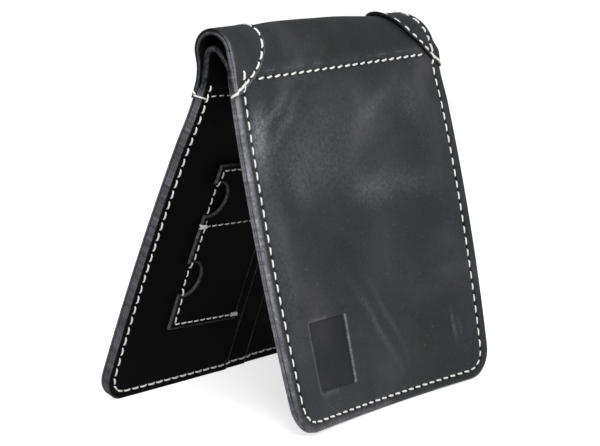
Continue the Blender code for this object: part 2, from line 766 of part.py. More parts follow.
def stand_on_floor(root):
    """Move the whole wallet so that its bounding box stands centred on the origin."""
    graph = bpy.context.evaluated_depsgraph_get()
    corners = []
    for obj in WALLET.objects:
        if obj.type == "EMPTY":
            continue
        mesh = obj.evaluated_get(graph).to_mesh()
        corners += [obj.matrix_world @ vert.co for vert in mesh.vertices]
        obj.evaluated_get(graph).to_mesh_clear()
    lows = [min(corner[axis] for corner in corners) for axis in range(3)]
    highs = [max(corner[axis] for corner in corners) for axis in range(3)]
    root.location = (-(lows[0] + highs[0]) / 2, -(lows[1] + highs[1]) / 2, -lows[2])


clear_scene()
WALLET = new_collection("leather_wallet")

wallet_root = new_empty("wallet_root", Matrix())
front_half = new_empty("front_half", FRONT_FRAME, wallet_root)
fold_axis = new_empty("fold_axis", Matrix.Translation(FOLD_AXIS), wallet_root)

add_half(FRONT, "front", front_half)
add_card_pocket("card_pocket_front", FRONT_POCKET_MOUTH, 1, FRONT, front_half)
add_half(BACK, "back", fold_axis)
add_card_pocket("card_pocket_back_rear", REAR_POCKET_MOUTH, 1, BACK, fold_axis)
add_card_pocket("card_pocket_back_middle", MIDDLE_POCKET_MOUTH, 2, BACK, fold_axis)
add_small_pocket(fold_axis)

add_cover_spine(wallet_root)
add_liner_spine(wallet_root)
add_patch("left", wallet_root)
add_patch("right", wallet_root)

LINER_SURFACE = LINER_DEPTH + LINER_THICKNESS
POCKET_SURFACE = POCKET_DEPTH + POCKET_THICKNESS
SECOND_POCKET_SURFACE = SECOND_POCKET_DEPTH + POCKET_THICKNESS
front_steps = [(FRONT_POCKET_MOUTH, POCKET_SURFACE)]
back_steps = [(MIDDLE_POCKET_MOUTH, SECOND_POCKET_SURFACE), (REAR_POCKET_MOUTH, POCKET_SURFACE)]
for side, name, steps, parent in (
    (FRONT, "front", front_steps, front_half),
    (BACK, "back", back_steps, fold_axis),
):
    add_outer_perimeter(side, name, parent)
    add_outer_cross_seam(side, name, parent)
    add_inner_threads(side, name, steps, parent)
    add_edge_wraps(side, name, {"left": steps[0][1], "right": LINER_SURFACE}, parent)

add_patch_thread("left", wallet_root)
add_patch_thread("right", wallet_root)
add_spine_edge_thread(wallet_root)
add_small_pocket_threads(fold_axis)
add_bar_tacks(fold_axis)
stand_on_floor(wallet_root)
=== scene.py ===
import math
import random

import bpy
from mathutils import Matrix, Vector, noise


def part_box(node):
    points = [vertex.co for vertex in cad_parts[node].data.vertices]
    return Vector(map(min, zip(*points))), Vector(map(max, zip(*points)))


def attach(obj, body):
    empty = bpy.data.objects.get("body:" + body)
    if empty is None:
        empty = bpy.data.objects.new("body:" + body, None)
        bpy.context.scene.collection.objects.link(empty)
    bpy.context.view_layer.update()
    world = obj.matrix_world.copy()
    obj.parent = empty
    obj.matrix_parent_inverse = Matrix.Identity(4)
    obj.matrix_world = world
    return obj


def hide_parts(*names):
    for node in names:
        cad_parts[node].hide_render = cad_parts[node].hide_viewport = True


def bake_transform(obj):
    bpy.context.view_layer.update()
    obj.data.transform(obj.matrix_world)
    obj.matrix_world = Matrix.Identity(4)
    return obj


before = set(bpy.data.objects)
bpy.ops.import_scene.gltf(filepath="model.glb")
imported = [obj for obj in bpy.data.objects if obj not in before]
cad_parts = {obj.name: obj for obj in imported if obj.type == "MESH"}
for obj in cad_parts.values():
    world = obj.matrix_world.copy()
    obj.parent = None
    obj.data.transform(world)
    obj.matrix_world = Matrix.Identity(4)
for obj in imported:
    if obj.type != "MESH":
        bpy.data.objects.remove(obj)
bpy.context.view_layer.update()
print("frame loaded:", len(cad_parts), "nodes")

mm = 0.001


def inMm(**sizes):
    # sizes typed in millimetres
    return {name: size * mm for name, size in sizes.items()}


def smooth(t):
    t = max(0.0, min(1.0, t))
    return t * t * (3 - 2 * t)


def bump(distance, width):
    return math.exp(-(distance / width) ** 2)


# Plan and section of the wallet: the solids' sizes, with warps and a crown fitted closer to the photograph

halves = {-1: "front", 1: "back"}
plan = inMm(
    panelLength=89.5, cornerRadius=8.0, stitchMargin=2.4,
    seamCorner=5.0,   # radius of the seam round a free corner
    threadLift=0.6,   # height of a strand's middle above the leather in the solids
    topEnd=3.0,       # how far a half's leathers reach above their cross seam
    warpStart=14.0,   # how far below its seam a panel stands out of its plane in full
    hairline=0.03,    # air between two leathers
)
sideMargins = {-1: 3.25 * mm, 1: 2.4 * mm}  # the seam lies farther from the side edges on the front half
# Depths between the leathers of a half, from the outer face in
layers = {
    -1: (0.0, 1.10 * mm, 1.70 * mm, 2.27 * mm),
    1: (0.0, 1.10 * mm, 1.70 * mm, 2.32 * mm, 2.92 * mm),
}
leans = {-1: math.radians(11.0), 1: math.radians(22.0)}
waistLean = math.radians(10.0)
fold = inMm(frontRise=8.0, crownRadius=5.2, waistRadius=14.0)
# The fold's end with the larger patch leans back and sinks, most at its top
farEnd = dict(inMm(lean=3.4, sink=2.5, start=-30.0), power=1.5)
# As photographed, the crown leans back a little all along, arches up and is drawn in at the far end
crown = dict(
    inMm(lean=0.75, arch=0.75, archStart=-35.0, archRise=16.0, archEnd=37.0, archFall=30.0,
         drawnBack=1.0, drawnIn=0.9, drawnStart=37.0),
    drawnRate=2.5)
# How a panel stands out of its plane, as photographed: the bow between seam and free edge, what the right
# side bows more and the left side less, the twist along the free edge and the cup of the two sides
warps = {
    -1: inMm(bow=0.13, sideBow=1.10, twist=-1.14, cup=2.64),
    1: inMm(bow=1.30, sideBow=0.0, twist=-0.62, cup=0.34),
}

coverLow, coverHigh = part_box("cover_front")
halfWidth = (coverHigh.x - coverLow.x) / 2
seamX = halfWidth - plan["stitchMargin"]
stitchXs = {side: halfWidth - margin for side, margin in sideMargins.items()}
stitchV = plan["panelLength"] - plan["stitchMargin"]
outwards = {side: Vector((0.0, side * math.cos(lean), math.sin(lean))) for side, lean in leans.items()}
downs = {side: Vector((0.0, side * math.sin(lean), -math.cos(lean))) for side, lean in leans.items()}


def seamPlace(side):
    low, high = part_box(f"cross_seam_thread_{halves[side]}_outer")
    place = (low + high) / 2 - plan["threadLift"] * outwards[side]
    return Vector((0.0, place.y, place.z))


def onCircle(centre, radius, angle):
    return centre + radius * Vector((0.0, math.cos(angle), math.sin(angle)))


seams = {side: seamPlace(side) for side in halves}
crownCentre = seams[-1] - fold["frontRise"] * downs[-1] - fold["crownRadius"] * outwards[-1]
waistCentre = onCircle(crownCentre, fold["crownRadius"] + fold["waistRadius"], -waistLean)
crownLength = fold["crownRadius"] * (math.pi - leans[-1] + waistLean)
waistLength = fold["waistRadius"] * (leans[1] + waistLean)
waistEnd = onCircle(waistCentre, fold["waistRadius"], math.pi + leans[1])
spineLength = fold["frontRise"] + crownLength + waistLength + (waistEnd - seams[1]).length
spineFoot = seams[-1].z + plan["topEnd"] * math.cos(leans[-1])
spineHeight = crownCentre.z + fold["crownRadius"] - spineFoot


def drawn(x, z):
    # how the far end is drawn in above the front seam
    share = smooth((x - crown["drawnStart"]) / (halfWidth - crown["drawnStart"]))
    share *= smooth(crown["drawnRate"] * (z - seams[-1].z) / spineHeight)
    return share * Vector((-crown["drawnIn"], crown["drawnBack"], 0.0))


def panelPoint(side, x, v, depth):
    warp = warps[side]
    across = x / seamX
    share = v / stitchV
    stand = 4 * (warp["bow"] + warp["sideBow"] * across) * share * (1 - share)
    stand += warp["twist"] * across * share ** 2
    stand = (stand + warp["cup"] * across ** 2 * share) * smooth(v / plan["warpStart"])
    point = seams[side] + v * downs[side] + Vector((x, 0.0, 0.0))
    return point + (stand - depth) * outwards[side] + drawn(x, point.z)


def spinePoint(s, lift):
    # the section over the fold: front rise, crown, waist and the back half's rise
    if s < fold["frontRise"]:
        return seams[-1] - s * downs[-1] + lift * outwards[-1]
    s -= fold["frontRise"]
    if s < crownLength:
        angle = math.pi - leans[-1] - s / fold["crownRadius"]
        return onCircle(crownCentre, fold["crownRadius"] + lift, angle)
    s -= crownLength
    if s < waistLength:
        angle = math.pi - waistLean + s / fold["waistRadius"]
        return onCircle(waistCentre, fold["waistRadius"] - lift, angle)
    return waistEnd + (s - waistLength) * downs[1] + lift * outwards[1]


def alongFold(x, z):
    # what a place along the fold adds to the section
    height = max(z - spineFoot, 0.0) / spineHeight
    share = (max(x - farEnd["start"], 0.0) / (halfWidth - farEnd["start"])) ** farEnd["power"]
    arch = crown["arch"] * smooth((x - crown["archStart"]) / crown["archRise"])
    arch *= smooth((crown["archEnd"] - x) / crown["archFall"])
    return drawn(x, z) + Vector((x, farEnd["lean"] * share * height ** 2 + crown["lean"] * height,
                                 arch * height - farEnd["sink"] * share * height))


def hidePoint(x, s, lift):
    if s <= 0.0:
        return panelPoint(-1, x, -s, -lift)
    if s >= spineLength:
        return panelPoint(1, x, s - spineLength, -lift)
    return spinePoint(s, lift) + alongFold(x, spinePoint(s, 0.0).z)


# Stitch holes: each run has a whole number of stitches, so that the leather's mesh lines meet them.
# The back's inner seam is shifted at its upper left end, where one more hole is pricked.
sewing = dict(inMm(sideTop=-2.9, innerShift=0.75, addedOut=0.1), sideStitches=27, cornerStitches=3,
              freeEdgeStitches=23, addedStep=0.75)
sideEnd = stitchV - plan["seamCorner"]
sidePitch = (sideEnd - sewing["sideTop"]) / sewing["sideStitches"]
freeEdgeHalves = {side: stitchX - plan["seamCorner"] for side, stitchX in stitchXs.items()}
freeEdgePitches = {side: 2 * half / sewing["freeEdgeStitches"] for side, half in freeEdgeHalves.items()}


def perimeterHoles(side, shift=0.0):
    # down the left side, along the free edge and up the right side
    stitchX, half, pitch = stitchXs[side], freeEdgeHalves[side], freeEdgePitches[side]
    top, count, steps = sewing["sideTop"], sewing["sideStitches"], sewing["cornerStitches"]
    radius = plan["seamCorner"]
    holes = [(-stitchX, top + sidePitch * i + shift * (1 - i / count)) for i in range(count)]
    if shift:
        holes.insert(0, (-stitchX - sewing["addedOut"], top - sewing["addedStep"] * sidePitch + shift))
    for end, start in ((-1, math.pi), (1, -math.pi / 2)):
        angles = [start + math.pi / 2 * i / steps for i in range(steps)]
        holes += [(end * half + radius * math.cos(angle), sideEnd - radius * math.sin(angle))
                  for angle in angles]
        if end < 0:
            holes += [(-half + pitch * i, stitchV) for i in range(sewing["freeEdgeStitches"])]
    return holes + [(stitchX, sideEnd - sidePitch * i) for i in range(count + 1)]


def alongSeam(position, pitch):
    # distance from the nearest hole on a run that starts at a hole
    return abs(position / pitch - round(position / pitch)) * pitch


def seamRoute(side, x, v):
    # how far a place is off the perimeter seam, and from the nearest hole along it
    half, pitch = freeEdgeHalves[side], freeEdgePitches[side]
    if abs(x) < half and v > sideEnd - (half - abs(x)):
        return v - stitchV, alongSeam(x + half, pitch)
    if v < sideEnd:
        return abs(x) - stitchXs[side], alongSeam(sideEnd - v, sidePitch)
    angle = math.atan2(v - sideEnd, abs(x) - half)
    step = math.pi / 2 / sewing["cornerStitches"]
    return (math.hypot(v - sideEnd, abs(x) - half) - plan["seamCorner"],
            abs(angle / step - round(angle / step)) * step * plan["seamCorner"])


# Cutting and folding leather

# Rings of mesh lines near an edge, as distances from it, where the rim is rounded and the seam lies
rings = [value * mm for value in (
    0.0, 0.12, 0.3, 0.6, 1.0, 1.5, 2.0, 2.4, 2.8, 3.25, 3.7, 4.3, 5.0, 6.0, 7.2, 8.5, 8.85, 9.0, 9.15, 9.5)]
zone = len(rings) - 1
cutting = dict(inMm(rimStart=0.1, rimWidth=0.5, holeWidth=0.34, holeLength=0.5), smoothAngle=math.radians(55),
               leastGap=0.4, crowded=0.3)


def meshLines(low, high, step, extra=(), ringsLow=True, ringsHigh=True, anchor=None):
    # lines of a cutting grid: rings near the edges, even steps between, and the wanted extra lines
    first = [low + value for value in rings] if ringsLow else [low]
    last = [high - value for value in reversed(rings)] if ringsHigh else [high]
    start, end = first[-1], last[0]
    if anchor is None:
        count = max(1, round((end - start) / step))
        middle = [start + (end - start) * i / count for i in range(1, count)]
    else:
        begin = math.ceil((start - anchor) / step + cutting["leastGap"])
        middle = []
        while anchor + begin * step < end - cutting["leastGap"] * step:
            middle.append(anchor + begin * step)
            begin += 1
    extra = [value for value in extra if start < value < end]
    middle = [value for value in middle
              if all(abs(value - wanted) > cutting["crowded"] * step for wanted in extra)]
    return first + sorted(middle + extra) + last


def cornerPlace(a, b, radius):
    # ring lines bend round a corner: distances from the side edge and from the end edge
    ring = min(a, b)
    inset = rings[ring]
    steps = 2 * (zone - ring)
    along = (zone - b) / steps if a <= b else 0.5 + (a - ring) / steps
    straight = rings[-1] - max(radius, inset)
    bend = max(radius - inset, 0.0)
    total = 2 * straight + bend * math.pi / 2
    travel = along * total
    if travel < straight:
        return inset, rings[-1] - travel
    if travel > total - straight:
        return rings[-1] - (total - travel), inset
    if bend == 0.0:
        return inset, inset
    angle = (travel - straight) / bend
    return inset + bend * (1 - math.cos(angle)), inset + bend * (1 - math.sin(angle))


def cutGrid(name, xs, ys, rounded=()):
    # a flat grid on the given lines; the rounded corners are pairs such as ("left", "low")
    bpy.ops.object.select_all(action="DESELECT")
    bpy.ops.mesh.primitive_grid_add(x_subdivisions=len(xs) - 1, y_subdivisions=len(ys) - 1, size=1.0)
    piece = bpy.context.active_object
    piece.name = name
    for index, vert in enumerate(piece.data.vertices):
        column, row = index % len(xs), index // len(xs)
        x, y = xs[column], ys[row]
        for sideName, endName in rounded:
            a = column if sideName == "left" else len(xs) - 1 - column
            b = row if endName == "low" else len(ys) - 1 - row
            if a < zone and b < zone:
                p, q = cornerPlace(a, b, plan["cornerRadius"])
                x = xs[0] + p if sideName == "left" else xs[-1] - p
                y = ys[0] + q if endName == "low" else ys[-1] - q
        vert.co = (x, y, 0.0)
    return piece


def roundedInset(x, y, low, high, left, right, corners):
    # distance from the edge of a plan with some rounded corners
    radius = plan["cornerRadius"]
    for sideName, endName in corners:
        p = x - left if sideName == "left" else right - x
        q = y - low if endName == "low" else high - y
        if p < radius and q < radius:
            return radius - math.hypot(radius - p, radius - q)
    return min(x - left, right - x, y - low, high - y)


def pick(pieces):
    bpy.ops.object.select_all(action="DESELECT")
    for piece in pieces:
        piece.select_set(True)
    bpy.context.view_layer.objects.active = pieces[0]


def inEditMode(piece, *steps):
    # runs the steps with the whole mesh selected
    pick([piece])
    bpy.ops.object.mode_set(mode="EDIT")
    bpy.ops.mesh.select_all(action="SELECT")
    for step in steps:
        step()
    bpy.ops.object.mode_set(mode="OBJECT")


def turnNormalsOut():
    bpy.ops.mesh.normals_make_consistent(inside=False)


def joinAs(name, pieces):
    pick(pieces)
    bpy.ops.object.join()
    piece = bpy.context.active_object
    piece.name = name
    return piece


def edgeRound(inset, radius):
    reach = radius - max(inset, 0.0)
    return radius - math.sqrt(radius ** 2 - reach ** 2) if reach > 0.0 else 0.0


def foldLeather(piece, thickness, inset, place, rounds, relief=None, rimWidth=None, **marks):
    # a flat cut gets its flesh side, rounded rims and relief, and is folded; the flat place and the marks
    # (worn, rubs with painted highlights, and dark places with painted shade, each a function of x, y and
    # whether it is the face) stay on it for the material
    solidify = piece.modifiers.new("Thickness", "SOLIDIFY")
    solidify.thickness = thickness
    solidify.offset = -1.0
    pick([piece])
    bpy.ops.object.modifier_apply(modifier=solidify.name)
    cuts, shares = [], dict(rim=[], worn=[], rubbed=[], dark=[])
    for vert in piece.data.vertices:
        x, y, z = vert.co
        cuts += [x, y, z]
        edge = inset(x, y)
        face = z > -thickness / 2
        width = rimWidth(x, y, face) if rimWidth else cutting["rimWidth"]
        shares["rim"].append(1.0 - smooth((edge - cutting["rimStart"]) / width))
        for key in ("worn", "rubbed", "dark"):
            shares[key].append(marks[key](x, y, face) if key in marks else 0.0)
        if face:
            z -= edgeRound(edge, rounds[0](x, y) if callable(rounds[0]) else rounds[0])
            z += relief(x, y) if relief else 0.0
        else:
            z += edgeRound(edge, rounds[1])
        vert.co = place(x, y, z)
        vert.co.z = max(vert.co.z, 0.0)  # the free edges stand flat on the floor
    piece.data.attributes.new("cut", "FLOAT_VECTOR", "POINT").data.foreach_set("vector", cuts)
    for key, values in shares.items():
        piece.data.attributes.new(key, "FLOAT", "POINT").data.foreach_set("value", values)
    inEditMode(piece, turnNormalsOut)
    bpy.ops.object.shade_smooth_by_angle(angle=cutting["smoothAngle"])


# The fold's two bodies, with places where a piece that crosses the fold would start and end to bend; they are
# computed but bend nothing
bending = dict(
    outerFold=(seams[-1].y + 0.3 * mm, seams[1].y - 0.4 * mm),
    innerFold=(seams[-1].y + 2.4 * mm, seams[1].y - 2.9 * mm),
)


def finish(piece, material, nodes, body):
    # its material and slot, the solids it stands for, and the half it moves with; a piece on the fold only
    # has its transform baked
    piece.data.materials.clear()
    piece.data.materials.append(material)
    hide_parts(*nodes)
    if body in bending:
        start, end = [(0, y, crownCentre.z) for y in bending[body]]
        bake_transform(piece)
        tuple(start)
        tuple(end)
    else:
        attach(piece, body)


# Materials

def linear(channel):
    return channel / 12.92 if channel <= 0.04045 else ((channel + 0.055) / 1.055) ** 2.4


def hexColour(text):
    return tuple(linear(int(text[i:i + 2], 16) / 255) for i in (0, 2, 4)) + (1.0,)


def addNode(tree, kind, inputs=None, take=None, **settings):
    # a node with its settings and links; gives the output to take, or else the first one in use
    node = tree.nodes.new(kind)
    for key, value in settings.items():
        setattr(node, key, value)
    for key, value in (inputs or {}).items():
        if isinstance(value, bpy.types.NodeSocket):
            tree.links.new(value, node.inputs[key])
        else:
            node.inputs[key].default_value = value
    return node.outputs[take] if take else next(output for output in node.outputs if output.enabled)


def newMaterial(name):
    material = bpy.data.materials.new(name)
    material.use_nodes = True
    tree = material.node_tree
    return material, tree, tree.nodes["Principled BSDF"]


def setRamp(output, stops):
    ramp = output.node.color_ramp
    while len(ramp.elements) < len(stops):
        ramp.elements.new(0.5)
    for element, (position, colour) in zip(ramp.elements, stops):
        element.position = position
        element.color = hexColour(colour)
    return output


def leatherMaterial(name, look):
    # cowhide: clouds of oil and wax, a fine pebbled grain, specks of scuffing and a burnished cut edge;
    # its sizes are real millimetres on the flat cut
    material, tree, shader = newMaterial(name)
    cut = addNode(tree, "ShaderNodeAttribute", take="Vector", attribute_name="cut")
    rim, worn, rubbed, dark = [addNode(tree, "ShaderNodeAttribute", take="Fac", attribute_name=key)
                               for key in ("rim", "worn", "rubbed", "dark")]
    at = addNode(tree, "ShaderNodeMapping", {"Vector": cut, "Scale": (1 / mm, 1 / mm, 1 / mm)})
    clouds = addNode(tree, "ShaderNodeTexNoise", {
        "Vector": at, "Scale": 1 / look["cloudSize"], "Detail": 3.5, "Roughness": 0.52, "Distortion": 0.5})
    grey = setRamp(addNode(tree, "ShaderNodeValToRGB", {"Fac": clouds}), look["tones"])
    tone = addNode(tree, "ShaderNodeMix", {
        "Factor": look["tinge"], "A": grey, "B": clouds.node.outputs["Color"]},
        data_type="RGBA", blend_type="COLOR")
    mottle = addNode(tree, "ShaderNodeTexNoise", {
        "Vector": at, "Scale": 1 / look["mottleSize"], "Detail": 4.0, "Roughness": 0.7})
    mottleShare = addNode(tree, "ShaderNodeMapRange", {
        "Value": mottle, "From Min": 0.3, "From Max": 0.7,
        "To Min": 1 - look["mottle"], "To Max": 1 + look["mottle"]})
    shade = addNode(tree, "ShaderNodeVectorMath", {0: tone, "Scale": mottleShare}, operation="SCALE")
    # scuffs: fine noise, a little drawn out along one direction, of which only specks and short threads pass
    turn = addNode(tree, "ShaderNodeMapping", {
        "Vector": at, "Rotation": (0, 0, math.radians(look["scuffTurn"])), "Scale": (0.9, 1.5, 0.4)})
    scuff = addNode(tree, "ShaderNodeTexNoise", {
        "Vector": turn, "Scale": 1.0, "Detail": 5.0, "Roughness": 0.7, "Distortion": 1.2})
    scuffShare = addNode(tree, "ShaderNodeMapRange", {
        "Value": scuff, "From Min": 0.60, "From Max": 0.72, "To Min": 0.0, "To Max": look["scuff"]})
    # rubbed places, where the wax has gone and the raised fibres scatter the light in specks, and painted
    # highlights on the recess's walls
    wisps = addNode(tree, "ShaderNodeTexNoise", {
        "Vector": at, "Scale": 0.9, "Detail": 8.0, "Roughness": 0.85, "Distortion": 0.4})
    wispShare = addNode(tree, "ShaderNodeMapRange", {
        "Value": wisps, "From Min": 0.38, "From Max": 0.66, "To Min": 0.1, "To Max": 1.4})
    rubShare = addNode(tree, "ShaderNodeMath", {0: rubbed, 1: wispShare}, operation="MULTIPLY")
    light = addNode(tree, "ShaderNodeMath", {0: scuffShare, 1: rubShare}, operation="ADD", use_clamp=True)
    scuffed = addNode(tree, "ShaderNodeMix", {
        "Factor": light, "A": shade, "B": hexColour(look["scuffColour"])}, data_type="RGBA")
    # the burnished edge: waxed fibres pressed into streaks that run along the cut, paler where it is worn
    streaks = addNode(tree, "ShaderNodeMapping", {
        "Vector": at, "Rotation": (0, 0, math.radians(45)), "Scale": (5.0, 1000.0, 0.45)},
        vector_type="TEXTURE")
    fibre = addNode(tree, "ShaderNodeTexNoise", {
        "Vector": streaks, "Scale": 1.0, "Detail": 5.0, "Roughness": 0.62, "Distortion": 0.3})
    blotch = addNode(tree, "ShaderNodeTexNoise", {
        "Vector": at, "Scale": 1.0, "Detail": 7.0, "Roughness": 0.8})
    edgeMix = addNode(tree, "ShaderNodeMix", {"Factor": 0.65, "A": fibre, "B": blotch}, data_type="FLOAT")
    darkEdge, paleEdge = [setRamp(addNode(tree, "ShaderNodeValToRGB", {"Fac": edgeMix}), look[key])
                          for key in ("edgeTones", "wornEdgeTones")]
    edgeTone = addNode(tree, "ShaderNodeMix", {
        "Factor": worn, "A": darkEdge, "B": paleEdge}, data_type="RGBA")
    edgeShare = addNode(tree, "ShaderNodeMath", {0: rim, 1: look["edge"]}, operation="MULTIPLY")
    edged = addNode(tree, "ShaderNodeMix", {
        "Factor": edgeShare, "A": scuffed, "B": edgeTone}, data_type="RGBA")
    # painted shade in the holes, along the seams, on flesh sides in the gaps between leathers and on the
    # lower front; and pressed places, where the dye stands full and no wax reflects
    colour = addNode(tree, "ShaderNodeMix", {
        "Factor": dark, "A": edged, "B": hexColour(fullDye)}, data_type="RGBA")
    # grain: pebbles parted by fine furrows, with pores over them
    pebbles = addNode(tree, "ShaderNodeTexVoronoi", {
        "Vector": at, "Scale": 1 / look["grainSize"], "Randomness": 1.0}, feature="SMOOTH_F1")
    pores = addNode(tree, "ShaderNodeTexNoise", {
        "Vector": at, "Scale": 2.6, "Detail": 4.0, "Roughness": 0.65})
    grain = addNode(tree, "ShaderNodeMath", {0: pebbles, 1: -0.6, 2: pores}, operation="MULTIPLY_ADD")
    relief = addNode(tree, "ShaderNodeBump", {
        "Height": grain, "Strength": look["grain"], "Distance": 0.12 * mm})
    gloss = addNode(tree, "ShaderNodeMapRange", {
        "Value": clouds, "From Min": 0.3, "From Max": 0.7,
        "To Min": look["roughness"] - 0.06, "To Max": look["roughness"] + 0.08})
    edgeGloss = addNode(tree, "ShaderNodeMath", {0: edgeShare, 1: -0.10, 2: gloss}, operation="MULTIPLY_ADD")
    for output, key in ((colour, "Base Color"), (relief, "Normal"), (edgeGloss, "Roughness")):
        tree.links.new(output, shader.inputs[key])
    shader.inputs["IOR"].default_value = 1.5
    shader.inputs["Specular IOR Level"].default_value = look["specular"]
    return material


# near-black colour for painted shade, and for pressed places
fullDye = "050506"
edgeTones = [(0.38, "0E0F10"), (0.46, "232425"), (0.53, "37383A"), (0.62, "66676A")]
wornEdgeTones = [(0.38, "424246"), (0.46, "6E6D72"), (0.54, "8B8A90"), (0.62, "B8B7BE")]
# Cover: pull-up cowhide, drum dyed charcoal and oiled, so it is satin, cloudy, and paler where bent or rubbed
coverLeather = leatherMaterial("pull_up_cowhide", dict(
    cloudSize=24.0, tones=[(0.30, "232527"), (0.46, "2B2D2F"), (0.58, "353739"), (0.72, "434548")],
    tinge=0.14, mottleSize=0.7, mottle=0.15, scuffTurn=35, scuff=0.26, scuffColour="8E9094",
    edgeTones=edgeTones, wornEdgeTones=wornEdgeTones, edge=1.0, grainSize=0.65, grain=0.6, roughness=0.5,
    specular=0.13))
# Spine patches: the same hide, cut from an evener part, so they are darker; their narrow edge tones are set
# near black as painted shade on the cut edge
patchLeather = leatherMaterial("patch_cowhide", dict(
    cloudSize=18.0, tones=[(0.30, "222426"), (0.5, "2C2E30"), (0.72, "393B3D")],
    tinge=0.14, mottleSize=0.8, mottle=0.14, scuffTurn=-20, scuff=0.14, scuffColour="6E6F73",
    edgeTones=[(0.30, "0A0A0B"), (0.5, "141517"), (0.62, "232426"), (0.74, "3C3D40")],
    wornEdgeTones=wornEdgeTones, edge=1.0, grainSize=0.55, grain=0.4, roughness=0.5, specular=0.13))
# Lining and pockets: thin black cowhide, plated smooth and left dry, so it is nearly black and matte; its
# tones are set darker still, as painted shade inside the wallet
innerLeather = leatherMaterial("black_lining_cowhide", dict(
    cloudSize=20.0, tones=[(0.3, "020202"), (0.5, "060606"), (0.7, "0D0E0D")],
    tinge=0.10, mottleSize=1.8, mottle=0.15, scuffTurn=70, scuff=0.08, scuffColour="2C2E2F",
    edgeTones=edgeTones, wornEdgeTones=wornEdgeTones, edge=0.95, grainSize=0.45, grain=0.3, roughness=0.75,
    specular=0.03))


def threadMaterial():
    # polyester sewing thread, two plies twisted and waxed, so it is off-white and dull, with painted shade
    # between the plies; it reads the stitch's own UV map
    material, tree, shader = newMaterial("waxed_polyester_thread")
    uv = addNode(tree, "ShaderNodeUVMap", uv_map="UVMap")
    around = addNode(tree, "ShaderNodeSeparateXYZ", {"Vector": uv})
    turns = addNode(tree, "ShaderNodeMath", {
        0: around.node.outputs["Y"], 1: 5.0, 2: around}, operation="MULTIPLY_ADD")
    angle = addNode(tree, "ShaderNodeMath", {0: turns, 1: 4 * math.pi}, operation="MULTIPLY")
    ply = addNode(tree, "ShaderNodeMath", {0: angle}, operation="SINE")
    relief = addNode(tree, "ShaderNodeBump", {"Height": ply, "Strength": 0.5, "Distance": 0.06 * mm})
    share = addNode(tree, "ShaderNodeMapRange", {
        "Value": ply, "From Min": -1.0, "From Max": 0.2, "To Min": 0.0, "To Max": 1.0})
    colour = addNode(tree, "ShaderNodeMix", {
        "Factor": share, "A": hexColour("DAD8D2"), "B": hexColour("FFFFFC")}, data_type="RGBA")
    tree.links.new(relief, shader.inputs["Normal"])
    tree.links.new(colour, shader.inputs["Base Color"])
    shader.inputs["Roughness"].default_value = 0.62
    return material


waxedThread = threadMaterial()
print("materials made")

# Patches over the spine's ends: a nose of some depth and half length, and how far its edge stands off
patches = {
    "left": dict(inMm(centre=16.0, depth=13.4, half=18.6, edgeLift=0.0), end=-1, nose=3.1),
    "right": dict(inMm(centre=16.5, depth=14.9, half=19.5, edgeLift=0.50), end=1, nose=2.0),
}
patchCut = dict(
    inMm(margin=1.2, thickness=0.80, air=0.02, faceRound=0.30, fleshRound=0.05, groove=0.16, grooveWidth=0.45,
         standWidth=1.6, standDepth=6.0, slopeStep=0.2, wornStart=2.0, wornRun=8.0, pitch=3.05),
    tipShare=0.985, skive=0.55, skiveStart=0.45, skiveRun=0.5, fleshStand=0.6, rows=84, worn=0.85,
    seamEnd=0.9985, routeSteps=240,
    columns=(0.0, 0.01, 0.025, 0.05, 0.09, 0.15, 0.24, 0.36, 0.5, 0.64, 0.76, 0.86, 0.93, 0.97, 0.99, 1.0))


def noseDepth(distance, patch, margin=0.0):
    share = min(abs(distance) / (patch["half"] + margin), 1.0)
    return (patch["depth"] + margin) * (1.0 - share ** patch["nose"])


def patchReach(patch):
    return (patch["half"] + patchCut["margin"]) * patchCut["tipShare"]


def patchLift(patch, s):
    # the patch is skived thin towards its two tips
    out = abs(s - patch["centre"]) / patchReach(patch)
    thin = patchCut["skive"] * smooth((out - patchCut["skiveStart"]) / patchCut["skiveRun"])
    return patchCut["thickness"] * (1.0 - thin)


def patchOver(x, s):
    # the patch that covers a place of the hide, or None
    for patch in patches.values():
        distance = s - patch["centre"]
        if abs(distance) > patchReach(patch) or x * patch["end"] < 0:
            continue
        if halfWidth - abs(x) < noseDepth(distance, patch, patchCut["margin"]):
            return patch
    return None


# Cover: one hide over both halves

cover = dict(
    inMm(rimRound=0.42, coveredRound=0.06, fleshRound=0.06, groove=0.20, grooveWidth=0.42, holeDip=0.26,
         pressed=0.14, pressedWidth=4.5, swell=0.10, swellSize=15.0, swellStart=3.0, swellRun=6.0,
         ridgePlace=1.7, ridge=0.14, ridgeWidth=0.35, ridgeEnd=42.0, ridgeRun=8.0,
         foldStart=6.0, foldEnd=4.0, foldStep=0.62, seamLine=0.4,
         crownSkiveWidth=9.0, backSkivePlace=27.0, backSkiveWidth=5.0),
    crownSkivePlace=0.42, crownSkive=0.20, backSkive=0.38)
# How pale its cut edge is worn: palest at the front half's left edge, darkest behind the crown
coverEdge = dict(
    inMm(frontEnd=5.0, lowStart=45.0, lowRun=38.0, crownEnd=16.0, crownRun=11.0, backRun=8.0, wideEnd=14.0,
         wideRun=6.0, rimWidth=0.5, addedWidth=1.5),
    left=0.95, leftFall=0.55, right=0.55, crown=0.25, crownRise=0.70, backRise=0.2)
